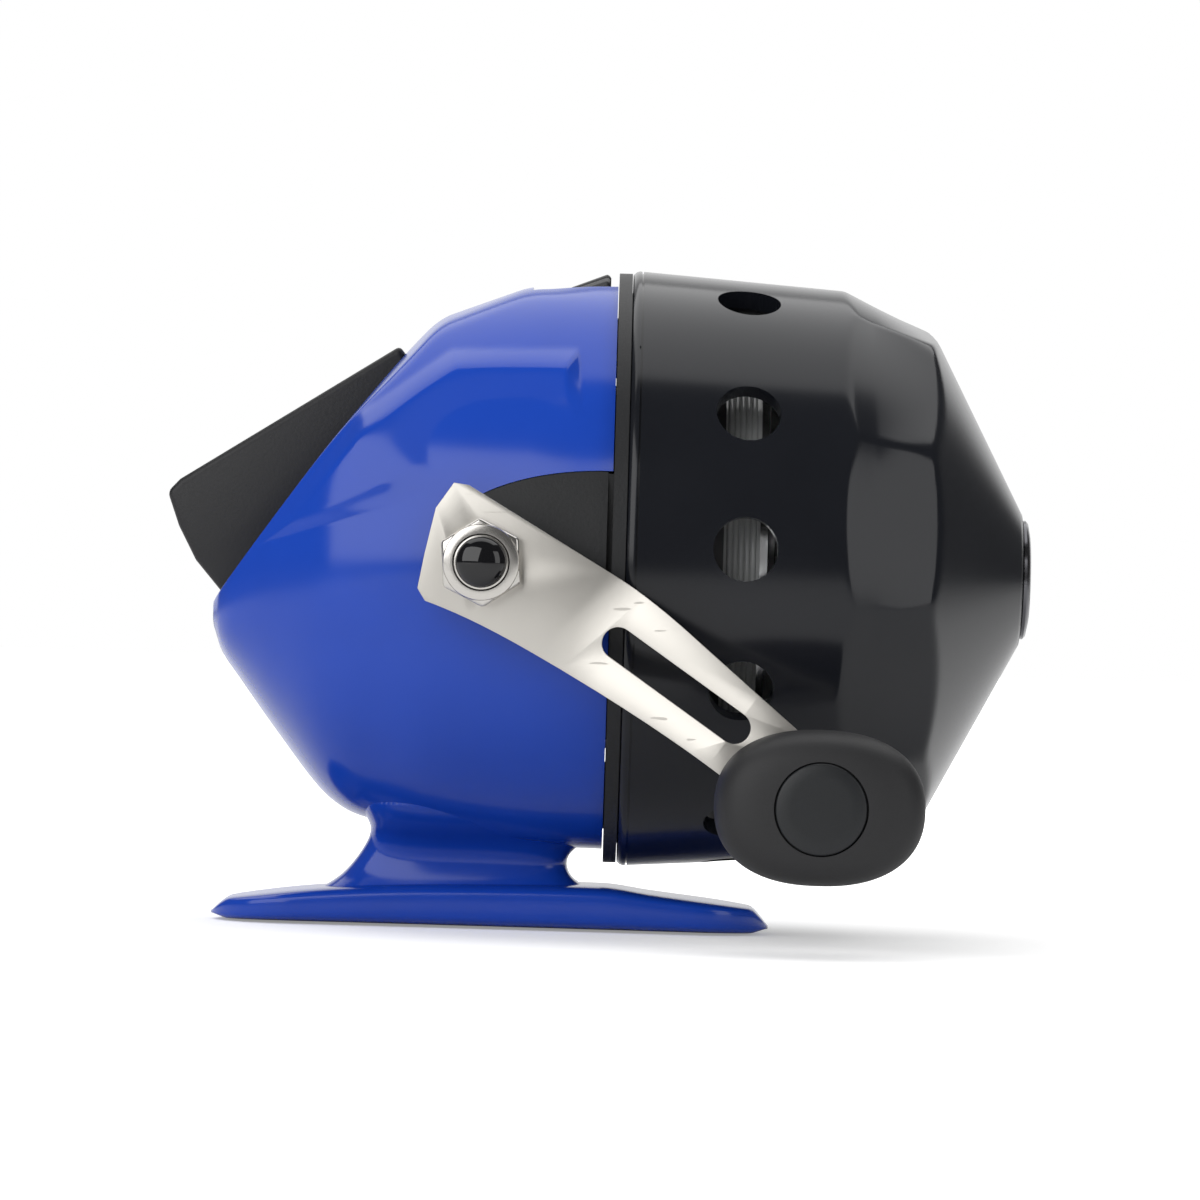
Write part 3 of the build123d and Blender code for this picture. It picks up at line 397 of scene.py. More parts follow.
def build_materials(blue):
    """Every finish on the reel."""
    GROUPS["skin"] = build_skin_group()
    GROUPS["scratches"] = build_scratch_group()
    deep = tuple(c * 0.86 for c in blue)
    lift = tuple(min(1, c * 1.10) for c in blue)
    made = {
        "blue_shell": moulded("glossy blue shell", deep, lift, 0.16, 500, 0.02, 0.05, specular=0.40),
        "black_shell": moulded(
            "gloss black cover", (0.005, 0.0058, 0.008), (0.009, 0.0098, 0.013), 0.17, 420, 0.02, 0.06,
            specular=0.35
        ),
        "frame_plastic": moulded(
            "grained black frame", (0.007, 0.0075, 0.0085), (0.012, 0.0125, 0.014), 0.50, 2600, 0.55,
            specular=0.35
        ),
        "button_plastic": moulded(
            "grained black button", (0.006, 0.006, 0.007), (0.010, 0.010, 0.0115), 0.46, 2600, 0.45,
            specular=0.4
        ),
        "soft_grip": moulded(
            "soft dark grip", (0.010, 0.010, 0.011), (0.015, 0.015, 0.0165), 0.56, 3200, 0.30, specular=0.4
        ),
        "knob_cap": moulded(
            "satin knob cap", (0.006, 0.0068, 0.008), (0.010, 0.0115, 0.0135), 0.42, 2400, 0.15,
            specular=0.4
        ),
        "nut_cap": moulded(
            "gloss black dome", (0.003, 0.003, 0.004), (0.006, 0.006, 0.007), 0.05, 300, 0.005, 0.02
        ),
        "spool_plastic": moulded("black spool", (0.018, 0.018, 0.02), (0.03, 0.03, 0.033), 0.4, 1500, 0.2),
        "brake_rubber": moulded("brake rubber", (0.015, 0.015, 0.015), (0.03, 0.03, 0.03), 0.8, 1800, 0.4),
        "dial_plastic": moulded(
            "grained black dial", (0.014, 0.014, 0.016), (0.024, 0.024, 0.026), 0.48, 2400, 0.4
        ),
        "shoe_plastic": moulded("natural acetal", (0.66, 0.65, 0.60), (0.74, 0.73, 0.69), 0.35, 900, 0.1),
        "cap_plastic": moulded(
            "natural acetal cap", (0.64, 0.63, 0.58), (0.72, 0.71, 0.67), 0.38, 900, 0.1
        ),
        "fishing_line": moulded(
            "clear line", (0.30, 0.31, 0.31), (0.44, 0.45, 0.45), 0.22, 400, 0.05, coat=0.4
        ),
        "nickel_plate": metal("satin nickel", (0.50, 0.48, 0.445), (0.58, 0.56, 0.52), 0.34, 1500, 0.10),
        "nut_plate": metal(
            "bright nickel", (0.55, 0.53, 0.50), (0.63, 0.61, 0.58), 0.22, 900, 0.04, scratches=0.15
        ),
        "guide_metal": metal(
            "dark polished ring", (0.10, 0.10, 0.11), (0.14, 0.14, 0.15), 0.18, 700, 0.03, scratches=0.1
        ),
        "flange_metal": metal("polished flange", (0.78, 0.79, 0.80), (0.86, 0.87, 0.88), 0.20, 900, 0.04),
        "spinner_metal": metal("satin aluminium", (0.52, 0.52, 0.53), (0.60, 0.60, 0.61), 0.36, 1300, 0.1),
        "gear_metal": metal("die-cast zinc", (0.38, 0.38, 0.39), (0.46, 0.46, 0.47), 0.42, 1300, 0.2),
        "brass": metal("machined brass", (0.66, 0.50, 0.24), (0.74, 0.58, 0.30), 0.28, 1100, 0.06),
        "steel": metal("bright steel", (0.50, 0.50, 0.51), (0.60, 0.60, 0.61), 0.30, 1100, 0.06),
        "bush_bronze": metal("sintered bronze", (0.44, 0.32, 0.16), (0.54, 0.40, 0.22), 0.45, 2200, 0.3),
    }
    for slot, paint in made.items():
        MATERIALS[slot] = paint.material


# ------------------------------------------------------------------ rear cover
# (along, value) pairs in millimetres, from the tail to the front edge
TAIL = -42.2
FRONT = -0.12
BODY_TOP = (
    (TAIL, -3.0), (-41.0, 4.0), (-37.6, 13.5), (-30.5, 22.5), (-25.0, 26.6), (-18.9, 29.1), (-9.0, 30.8),
    (FRONT, 31.05)
)
BODY_BOTTOM = (
    (TAIL, -8.0), (-41.4, -10.3), (-39.6, -12.9), (-35.0, -19.1), (-30.6, -24.6), (-27.6, -26.9),
    (-24.0, -28.0), (-18.0, -29.2), (-9.0, -30.1), (FRONT, -30.3),
)
BODY_HALF = (
    (TAIL, 9.6), (-41.4, 12.4), (-39.6, 15.3), (-35.0, 20.2), (-30.5, 24.0), (-25.0, 26.8), (-18.9, 28.8),
    (-9.0, 30.0), (FRONT, 30.3)
)
BODY_MIDDLE = ((TAIL, -5.7), (-37.6, -3.0), (-30.5, -1.5), (-18.9, -0.45), (-9.0, 0.0), (FRONT, 0.0))
SLOPE_TURN = math.radians(54.0)  # sloping face, from level
SLOPE = math.tan(SLOPE_TURN)
SLOPE_TOP = (-22.3, 22.6)
CHEEK = (
    (-17.45, 22.5), (-4.0, 22.8), (-3.2, 11.6), (-14.0, 8.3), (-27.0, 3.6), (-40.6, -3.2), (-26.5, 15.7)
)
CHEEK_BEVELS = (2.1, 1.5, 1.5, 2.6, 2.6, 1.4, 2.0)  # widths, from the top edge round to the rear one
CHEEK_LIFT = 1.75
WALL = 2.2
HOLLOW_REAR = -40.0
HOLLOW_LENGTH = 40.4


def body_cap(along):
    """Height of the top of the shell at a station: a crowned strip that drops to the rear."""
    front = 30.3 + 0.035 * along
    ridge = 30.15 + (along + 9.0) * 0.385
    brow = 26.4 + (along + 18.9) * 1.0
    return smooth_min(smooth_min(front, ridge, 0.5), brow, 0.8)


def inside(start, end, along, up):
    """Distance from the line through two points, positive to its right."""
    run, rise = end[0] - start[0], end[1] - start[1]
    return (rise * (along - start[0]) - run * (up - start[1])) / math.hypot(run, rise)


def cheek_share(along, up):
    """0 outside the raised cheek, 1 on it, and a straight bevel between."""
    share = 1.0
    for start, end, bevel in zip(CHEEK, CHEEK[1:] + CHEEK[:1], CHEEK_BEVELS):
        share = smooth_min(share, inside(start, end, along, up) / bevel, 0.12)
    return max(0.0, share)


def cheek_out(along, up, out):
    """The cheek's own face: a flat panel in front, fading into the rounded flank at the rear."""
    lower = min(inside(CHEEK[3], CHEEK[4], along, up), inside(CHEEK[2], CHEEK[3], along, up))
    least = 0.3 + 0.6 * smooth_step(-27.0, -13.0, along)
    most = CHEEK_LIFT * (0.5 + 0.5 * smooth_step(-39.0, -22.0, along))
    lift = least + (most - least) * smooth_step(0.0, 8.5, lower)
    panel = 24.1 + (20.2 - up) * 0.44 + (along + 5.0) * 0.12
    return smooth_min(out + lift, max(panel, out), 0.8)


def body_point(along, turn):
    """Point on the shell's outer face at a station and an angle round it."""
    middle = through(BODY_MIDDLE, along)
    high = through(BODY_TOP, along) - middle
    low = middle - through(BODY_BOTTOM, along)
    half = through(BODY_HALF, along)
    power = 2 / (2.0 + 0.5 * smooth_step(22.0, -TAIL, -along))
    c, s = math.cos(turn), math.sin(turn)
    out = half * math.copysign(abs(c) ** power, c)
    up = middle + (high if s > 0 else low) * math.copysign(abs(s) ** power, s)
    if s > 0:
        crown = body_cap(along) - out * out / 150.0
        front_share = smooth_step(1.5, 8.0, -along)
        capped = smooth_min(up, crown, 0.9)
        up = up + (capped - up) * front_share
        slope = SLOPE_TOP[1] + (along - SLOPE_TOP[0]) * SLOPE
        up = smooth_min(up, max(slope, middle - low), 0.7)
    share = cheek_share(along, up)
    if share > 0:
        flank = abs(out)
        out = math.copysign(flank + (cheek_out(along, up, flank) - flank) * share, out)
    return along, up, out


def rounded_rows(stations, section, steps):
    """Rings of points, one per station."""
    rows = []
    for station in stations:
        rows.append([section(station, 2 * math.pi * (step + 0.5) / steps) for step in range(steps)])
    return rows


def body_shell():
    """The rounded shell with its brow, its sloping face and its cheeks, and its hollow."""
    count = 170
    steps = 380
    stations = []
    for index in range(count + 1):
        share = index / count
        stations.append(TAIL + (FRONT - TAIL) * (share - 0.16 * math.sin(2 * math.pi * share) / math.pi))
    turns = []
    for step in range(steps):
        even = 2 * math.pi * (step + 0.5) / steps
        turns.append(even - 0.30 * math.sin(2 * even) + 0.18 * (math.cos(even) - math.cos(3 * even) / 3))
    rows = [[spot(*body_point(along, turn)) for turn in turns] for along in stations]
    shell = grid_piece("rear_cover_shell", rows)
    inner = []
    inner_count = 45
    inner_steps = 120
    for index in range(inner_count + 1):
        along = HOLLOW_REAR + HOLLOW_LENGTH * index / inner_count
        ring = []
        for step in range(inner_steps):
            place, up, out = body_point(min(along, FRONT), 2 * math.pi * (step + 0.5) / inner_steps)
            middle = through(BODY_MIDDLE, place)
            length = math.hypot(up - middle, out)
            share = (length - WALL) / length
            ring.append(spot(along + 0.4, middle + (up - middle) * share, out * share))
        inner.append(ring)
    cut(shell, grid_piece("hollow", inner))
    return shell


STEM = (
    (-37.6, -36.0, 8.5, 7.4), (-36.2, -31.9, 4.0, 6.9), (-35.2, -30.0, 0.2, 6.3),
    (-34.2, -28.5, -2.2, 5.8), (-33.2, -27.4, -3.6, 5.4), (-31.6, -26.2, -4.0, 5.2),
    (-30.4, -25.5, -3.2, 5.6), (-29.5, -25.1, -1.8, 6.6), (-28.7, -25.0, -1.0, 8.4),
    (-27.9, -25.2, -0.8, 10.6), (-26.4, -26.2, -0.8, 13.0), (-24.4, -27.0, -0.8, 14.6),
)


def stem_section(level, turn):
    """Rounded oblong at one level of the stem."""
    up, rear, front, half = level
    c, s = math.cos(turn), math.sin(turn)
    along = (rear + front) / 2 + (front - rear) / 2 * math.copysign(abs(c) ** 0.55, c)
    return spot(along, up, half * math.copysign(abs(s) ** 0.55, s))


FOOT_TOP = (
    (-42.0, -37.4), (-41.0, -36.8), (-39.0, -36.3), (-31.0, -35.2), (-20.0, -34.4), (0.0, -34.1),
    (5.0, -34.7), (16.0, -36.0), (17.2, -36.6), (18.0, -37.3)
)
FOOT_LOW = -38.8
FOOT_REAR = -42.0
FOOT_LENGTH = 60.0
FOOT_MIDDLE = -12.0
FOOT_HALF = 8.5
FOOT_STRAIGHT = 21.5  # from the middle to where the ends start to round


def foot_section(along, turn):
    """Flat-bottomed section of the foot at one station."""
    reach = max(0.0, abs(along - FOOT_MIDDLE) - FOOT_STRAIGHT) / FOOT_HALF
    half = FOOT_HALF * math.sqrt(max(0.0, 1 - reach * reach)) + 0.02
    top = through(FOOT_TOP, along)
    tip = smooth_step(0.75, 1.0, reach)
    top -= 0.7 * tip
    low = FOOT_LOW + 0.45 * tip
    c, s = math.cos(turn), math.sin(turn)
    up = (top + low) / 2 + (top - low) / 2 * math.copysign(abs(s) ** 0.38, s)
    return spot(along, up, half * math.copysign(abs(c) ** 0.38, c))


def join(name, *pieces):
    """One mesh from several pieces."""
    bm = bmesh.new()
    for piece in pieces:
        bm.from_mesh(piece.data)
        bpy.data.objects.remove(piece)
    mesh = bpy.data.meshes.new(name)
    bm.to_mesh(mesh)
    bm.free()
    made = bpy.data.objects.new(name, mesh)
    bpy.context.scene.collection.objects.link(made)
    return made


def slope_box(name, half_width, start, end, deep, high):
    """Cutter square to the sloping face, from start to end down the slope."""
    down = Vector((-math.cos(SLOPE_TURN), 0, -math.sin(SLOPE_TURN)))
    away = Vector((-math.sin(SLOPE_TURN), 0, math.cos(SLOPE_TURN)))
    origin = spot(*SLOPE_TOP)
    outline = ((-half_width, start), (half_width, start), (half_width, end), (-half_width, end))
    return prism(
        name, outline, deep, high,
        lambda a, b, h: origin + Vector((0, a * MM, 0)) + down * (b * MM) + away * (h * MM),
    )


class REEL_OT_rear_cover(bpy.types.Operator):
    """Blue shell with its stem and foot"""

    bl_idname = "reel.rear_cover"
    bl_label = "Rear cover"

    def execute(self, context):
        shell = body_shell()
        ellipse = []
        for step in range(96):
            turn = 2 * math.pi * step / 96
            ellipse.append((-0.6 + 17.35 * math.cos(turn), 1.8 + 8.1 * math.sin(turn)))
        window = prism("window", ellipse, 18.0, 45.0, spot)
        opening = slope_box("opening", 8.9, 0.0, 33.1, -8.0, 14.0)
        box = ((-9.2, 22.0), (3.0, 22.0), (3.0, 45.0), (-9.2, 45.0))
        dial_slot = prism("dial_slot", box, -8.0, 8.0, spot)
        cut(shell, window, opening, dial_slot)
        turns = [2 * math.pi * step / 96 for step in range(96)]
        stem = grid_piece("stem", [[stem_section(level, turn) for turn in turns] for level in STEM])
        modifier(stem, "SUBSURF", levels=2, render_levels=2)
        bake(stem)
        count = 90
        shares = [0.5 - 0.5 * math.cos(math.pi * index / count) for index in range(count + 1)]
        stations = [FOOT_REAR + FOOT_LENGTH * share for share in shares]
        foot = grid_piece("foot", rounded_rows(stations, foot_section, 72))
        shell = join("rear_cover_shell", shell, stem, foot)
        bake(shell, 40)
        ride_as(shell, "reel_body", ["rear_cover"], "blue_shell")
        return {"FINISHED"}


# ------------------------------------------------------------------ front cover
class Tree:
    """Short way of writing a geometry node tree."""

    def __init__(self, name, inputs):
        self.group = bpy.data.node_groups.new(name, "GeometryNodeTree")
        self.group.interface.new_socket("Geometry", in_out="INPUT", socket_type="NodeSocketGeometry")
        self.group.interface.new_socket("Geometry", in_out="OUTPUT", socket_type="NodeSocketGeometry")
        self.ids = {}
        for label, kind, default in inputs:
            made = self.group.interface.new_socket(label, in_out="INPUT", socket_type=kind)
            if default is not None:
                made.default_value = default
            self.ids[label] = made.identifier
        self.start = self.group.nodes.new("NodeGroupInput")
        self.end = self.group.nodes.new("NodeGroupOutput")

    def value(self, label):
        """A named input."""
        return self.start.outputs[label]

    def node(self, kind, settings=None, **links):
        """A node with its settings and its inputs linked or set."""
        made = self.group.nodes.new(kind)
        for key, value in (settings or {}).items():
            setattr(made, key, value)
        for key, value in links.items():
            self.put(made.inputs[key.replace("_", " ")], value)
        return made

    def put(self, socket, value):
        """Links a socket, or sets its value."""
        if isinstance(value, bpy.types.NodeSocket):
            self.group.links.new(value, socket)
        else:
            socket.default_value = value

    def maths(self, operation, *values):
        """Math node."""
        made = self.group.nodes.new("ShaderNodeMath")
        made.operation = operation
        for socket, value in zip(made.inputs, values):
            self.put(socket, value)
        return made.outputs[0]

    def finish(self, geometry, material):
        """Ends the tree in realized instances with their material."""
        real = self.node("GeometryNodeRealizeInstances", Geometry=geometry)
        painted = self.node("GeometryNodeSetMaterial", Geometry=real.outputs[0], Material=material)
        self.group.links.new(painted.outputs[0], self.end.inputs[0])

    def piece(self, name, **values):
        """Runs the tree on an empty mesh and keeps the result as a plain one."""
        mesh = bpy.data.meshes.new(name)
        made = bpy.data.objects.new(name, mesh)
        bpy.context.scene.collection.objects.link(made)
        added = made.modifiers.new("tree", "NODES")
        added.node_group = self.group
        for label, value in values.items():
            added[self.ids[label.replace("_", " ")]] = value
        return bake(made)


def drum_tree(material):
    """Front cover skin: a drum, a faceted cone and a smooth nose, as one rule for the radius."""
    tree = Tree(
        "front cover skin",
        (
            ("Facets", "NodeSocketInt", 10),
            ("Facet Phase", "NodeSocketFloat", math.radians(10.3)),
            ("Rear Radius", "NodeSocketFloat", 32.0),
            ("Front Radius", "NodeSocketFloat", 30.5),
            ("Facet Start", "NodeSocketFloat", 24.1),
            ("Facet Fall", "NodeSocketFloat", 0.488),
            ("Facet Onset", "NodeSocketFloat", 0.3),
            ("Edge Round", "NodeSocketFloat", 0.95),
            ("Cone Start", "NodeSocketFloat", 34.1),
            ("Cone Radius", "NodeSocketFloat", 25.9),
            ("Cone Fall", "NodeSocketFloat", 1.899),
            ("Axis Height", "NodeSocketFloat", AXIS_HEIGHT),
            ("Deck Place", "NodeSocketFloat", DECK_X),
        ),
    )
    rows, steps = 128, 360
    rear, length_all, lip_length, lip_drop = 1.5, 42.5, 0.7, 0.45
    grid = tree.node("GeometryNodeMeshGrid", Size_X=1.0, Size_Y=1.0, Vertices_X=rows, Vertices_Y=steps + 1)
    place = tree.node("ShaderNodeSeparateXYZ", Vector=tree.node("GeometryNodeInputPosition").outputs[0])
    share = tree.maths("ADD", place.outputs["X"], 0.5)
    turn = tree.maths("MULTIPLY", place.outputs["Y"], 2 * math.pi)
    along = tree.maths("ADD", tree.maths("MULTIPLY", share, length_all), rear)
    pitch = tree.maths("DIVIDE", 2 * math.pi, tree.value("Facets"))
    shifted = tree.maths(
        "ADD", tree.maths("SUBTRACT", turn, tree.value("Facet Phase")), tree.maths("MULTIPLY", pitch, 0.5)
    )
    wrapped = tree.maths(
        "SUBTRACT", tree.maths("FLOORED_MODULO", shifted, pitch), tree.maths("MULTIPLY", pitch, 0.5)
    )
    drum_fall = tree.maths(
        "DIVIDE",
        tree.maths("SUBTRACT", tree.value("Rear Radius"), tree.value("Front Radius")),
        tree.maths("SUBTRACT", tree.value("Facet Start"), 2.0),
    )
    drum = tree.maths(
        "SUBTRACT", tree.value("Rear Radius"),
        tree.maths("MULTIPLY", drum_fall, tree.maths("SUBTRACT", along, 2.0))
    )
    past = tree.maths(
        "MULTIPLY", tree.maths("SUBTRACT", along, tree.value("Facet Start")), tree.value("Facet Fall")
    )
    level = tree.maths("SUBTRACT", tree.value("Front Radius"), past)
    bulge = tree.maths("SUBTRACT", tree.maths("DIVIDE", 1.0, tree.maths("COSINE", wrapped)), 1.0)
    length = tree.maths("SUBTRACT", tree.value("Cone Start"), tree.value("Facet Start"))
    run = tree.maths("DIVIDE", tree.maths("SUBTRACT", along, tree.value("Facet Start")), length)
    kept = tree.maths("MINIMUM", tree.maths("MAXIMUM", run, tree.value("Facet Onset")), 1.0)
    facet = tree.maths("MULTIPLY", level, tree.maths("ADD", 1.0, tree.maths("MULTIPLY", bulge, kept)))
    cone = tree.maths("ADD", level, tree.value("Edge Round"))
    band = tree.maths("SMOOTH_MIN", facet, cone, 0.35)
    nose_drop = tree.maths(
        "MULTIPLY", tree.maths("SUBTRACT", along, tree.value("Cone Start")), tree.value("Cone Fall")
    )
    nose = tree.maths("SUBTRACT", tree.value("Cone Radius"), nose_drop)
    radius = tree.maths("SMOOTH_MIN", tree.maths("SMOOTH_MIN", drum, band, 0.22), nose, 0.7)
    lip_share = tree.maths("DIVIDE", tree.maths("SUBTRACT", along, rear), lip_length)
    lip_left = tree.maths("MAXIMUM", tree.maths("SUBTRACT", 1.0, lip_share), 0.0)
    lip = tree.maths("MULTIPLY", tree.maths("POWER", lip_left, 2.0), lip_drop)
    radius = tree.maths("SUBTRACT", radius, lip)
    metres = tree.maths("MULTIPLY", radius, MM)
    out = tree.maths("MULTIPLY", metres, tree.maths("COSINE", turn))
    up = tree.maths("MULTIPLY", metres, tree.maths("SINE", turn))
    spot_node = tree.node(
        "ShaderNodeCombineXYZ",
        X=tree.maths("ADD", tree.maths("MULTIPLY", along, MM), tree.value("Deck Place")),
        Y=tree.maths("MULTIPLY", out, -1.0),
        Z=tree.maths("ADD", up, tree.value("Axis Height")),
    )
    skin = tree.node(
        "GeometryNodeSetPosition", Geometry=grid.outputs["Mesh"], Position=spot_node.outputs[0]
    )
    merged = tree.node("GeometryNodeMergeByDistance", Geometry=skin.outputs[0], Distance=1e-6)
    tree.finish(merged.outputs[0], material)
    return tree


def fill_ends(piece):
    """Closes a tube's open ends and turns its faces outwards."""
    bm = bmesh.new()
    bm.from_mesh(piece.data)
    bmesh.ops.remove_doubles(bm, verts=bm.verts, dist=1e-6)
    open_edges = [edge for edge in bm.edges if edge.is_boundary]
    bmesh.ops.holes_fill(bm, edges=open_edges, sides=0)
    bmesh.ops.recalc_face_normals(bm, faces=bm.faces)
    bm.to_mesh(piece.data)
    bm.free()


PORT_PHASE = 4.05
PORT_STEP = 27.8


def ports():
    """Cutter for the twelve round ports."""
    drills = []
    for group in range(4):
        for place in (-1, 0, 1):
            turn = math.radians(PORT_PHASE + group * 90 + place * PORT_STEP)
            axis = Vector((0, -math.cos(turn), math.sin(turn)))
            start = spot(13.8, 0) + axis * 0.020
            drills.append(lathe("drill", ((0.0, 0.00335), (0.03, 0.00335)), start, axis, 64))
    return join("ports", *drills)


class REEL_OT_front_cover(bpy.types.Operator):
    """Black drum with its ports, facets and nose"""

    bl_idname = "reel.front_cover"
    bl_label = "Front cover"

    def execute(self, context):
        cover = drum_tree(MATERIALS["black_shell"]).piece(
            "front_cover_shell", Facets=context.scene.reel_sizes.facets
        )
        fill_ends(cover)
        inner = ((1.0, 29.8), (9.4, 29.8), (23.6, 28.0), (33.4, 23.4), (41.8, 7.2), (41.8, 0.01))
        hollow = lathe("hollow", in_metres(inner), spot(0, 0), (1, 0, 0), 144)
        groove = ((2.42, 32.5), (2.42, 31.72), (2.62, 31.72), (2.62, 32.5), (2.42, 32.5))
        line = lathe("groove", in_metres(groove), spot(0, 0), (1, 0, 0), 180, (False, False))
        bore = lathe("bore", ((0.0, 0.0042), (0.02, 0.0042)), spot(35, 0), (1, 0, 0), 96)
        cut(cover, hollow, line, bore, ports())
        bake(cover, 38)
        ride_as(cover, "front_cover", ["front_cover"], "black_shell")
        return {"FINISHED"}


class REEL_OT_line_guide(bpy.types.Operator):
    """Polished ring in the nose that the line leaves through"""

    bl_idname = "reel.line_guide"
    bl_label = "Line guide"

    def execute(self, context):
        profile = (
            (41.0, 3.2), (41.0, 4.15), (44.0, 4.2), (44.0, 6.1), (44.15, 6.38), (44.45, 6.4), (44.7, 6.1),
            (44.95, 4.9), (44.95, 3.6), (44.8, 3.0), (44.4, 2.3), (43.9, 1.8), (43.2, 1.62), (42.4, 1.6),
        )
        points = in_metres(profile)
        guide = lathe("line_guide_ring", points + [points[0]], spot(0, 0), (1, 0, 0), 128, (False, False))
        bake(guide, 50)
        ride_as(guide, "front_cover", ["line_guide"], "guide_metal")
        return {"FINISHED"}


# ------------------------------------------------------------------ handle
NUT_REAR = 34.5
NUT_CORNER = 4.62  # hexagon axis to corner


class REEL_OT_handle(bpy.types.Operator):
    """Stamped crank arm with its collared nut and black dome"""

    bl_idname = "reel.handle"
    bl_label = "Handle"

    def execute(self, context):
        arm = cad_copy("handle_plate", "handle_arm")
        bevelled(arm, 0.00028, 3, 40)
        ride_as(arm, "crank", ["handle_arm"], "nickel_plate")
        turn = math.radians(34)
        corners = []
        for side in range(6):
            angle = turn + side * math.pi / 3
            corners.append((NUT_CORNER * math.cos(angle), NUT_CORNER * math.sin(angle)))
        nut = prism("hexagon", corners, NUT_REAR, 37.1, lambda a, b, h: spot(CRANK_ALONG + a, b, h))
        bevelled(nut, 0.00035, 3, 30)
        rim = (
            (0.0, 3.3), (0.0, 3.95), (2.55, 3.95), (2.75, 3.85), (2.85, 3.6), (2.85, 2.95), (2.7, 2.8),
            (2.2, 2.7), (2.2, 0.01),
        )
        collar = lathe("collar", in_metres(rim), spot(CRANK_ALONG, 0, NUT_REAR), (0, -1, 0), 96)
        nut = join("handle_hex_nut", nut, collar)
        bake(nut, 32)
        ride_as(nut, "crank", ["handle_nut"], "nut_plate")
        dome = []
        for step in range(15):
            angle = math.pi / 2 * step / 14
            dome.append(((1.0 + 1.5 * math.sin(angle)) * MM, max(2.62 * math.cos(angle), 0.01) * MM))
        dome.insert(0, (0.0, 2.62 * MM))
        cap = lathe("handle_nut_dome", dome, spot(CRANK_ALONG, 0, NUT_REAR + 2.0), (0, -1, 0), 96)
        bake(cap, 60)
        ride_as(cap, "crank", ["nut_cap"], "nut_cap")
        return {"FINISHED"}


KNOB_ALONG = CRANK_ALONG + CRANK_THROW * math.cos(HANDLE_ANGLE)
KNOB_UP = -CRANK_THROW * math.sin(HANDLE_ANGLE)
KNOB_REAR = 39.2
KNOB_LENGTH = 12.0
KNOB_HALF = (10.7, 7.9)  # half width along and half height
KNOB_SEAT = KNOB_REAR + 10.9  # floor of the cap's seat


class REEL_OT_knob(bpy.types.Operator):
    """Soft oval knob with a round cap in its end"""

    bl_idname = "reel.knob"
    bl_label = "Knob"

    def execute(self, context):
        rows = []
        steps = 160
        count = 40
        for index in range(1, count):
            angle = math.pi * index / count
            level = math.copysign(abs(math.cos(angle)) ** 0.62, math.cos(angle))
            depth = KNOB_LENGTH / 2 - KNOB_LENGTH / 2 * level
            share = max(math.sin(angle), 0.0) ** 0.42
            row = []
            for step in range(steps):
                turn = 2 * math.pi * step / steps
                c, s = math.cos(turn), math.sin(turn)
                a = KNOB_HALF[0] * share * math.copysign(abs(c) ** 0.86, c)
                b = KNOB_HALF[1] * share * math.copysign(abs(s) ** 0.86, s)
                row.append(spot(KNOB_ALONG + a, KNOB_UP + b, KNOB_REAR + depth))
            rows.append(row)
        bm = bmesh.new()
        made = [[bm.verts.new(point) for point in row] for row in rows]
        ends = [bm.verts.new(spot(KNOB_ALONG, KNOB_UP, KNOB_REAR + height)) for height in (0, KNOB_LENGTH)]
        for lower, upper in zip(made, made[1:]):
            for index in range(steps):
                after = (index + 1) % steps
                bm.faces.new((lower[index], lower[after], upper[after], upper[index]))
        for index in range(steps):
            after = (index + 1) % steps
            bm.faces.new((ends[0], made[0][after], made[0][index]))
            bm.faces.new((ends[1], made[-1][index], made[-1][after]))
        knob = object_from("knob_grip", bm)
        seat = lathe(
            "seat", ((0.0, 0.00478), (0.01, 0.00478)), spot(KNOB_ALONG, KNOB_UP, KNOB_SEAT), (0, -1, 0), 96
        )
        bore = lathe(
            "bore", ((0.0, 0.00165), (0.02, 0.00165)), spot(KNOB_ALONG, KNOB_UP, KNOB_REAR - 1), (0, -1, 0),
            48
        )
        rivet_end = -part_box("knob_rivet")[0][1]
        middle = spot(KNOB_ALONG, KNOB_UP)
        head_start = Vector((middle.x, -rivet_end + 0.001, middle.z))
        head = lathe("head_room", ((0.0, 0.0028), (0.005, 0.0028)), head_start, (0, -1, 0), 64)
        cut(knob, seat, bore, head)
        bake(knob, 40)
        ride_as(knob, "knob", ["knob"], "soft_grip")
        profile = ((0.0, 4.6), (0.75, 4.66), (0.98, 4.6), (1.08, 4.4), (1.12, 3.0), (1.14, 0.01))
        cap = lathe(
            "knob_end_cap", in_metres(profile), spot(KNOB_ALONG, KNOB_UP, KNOB_SEAT), (0, -1, 0), 128
        )
        bake(cap, 50)
        ride_as(cap, "knob", ["knob_cap"], "knob_cap")
        return {"FINISHED"}


# ------------------------------------------------------------------ thumb button
BUTTON_FACE = ((-23.1, 23.0), (-46.2, 8.1), (-47.5, 6.7), (-46.2, 3.1), (-44.3, -0.5))
PIVOT = (-22.62, 19.6)


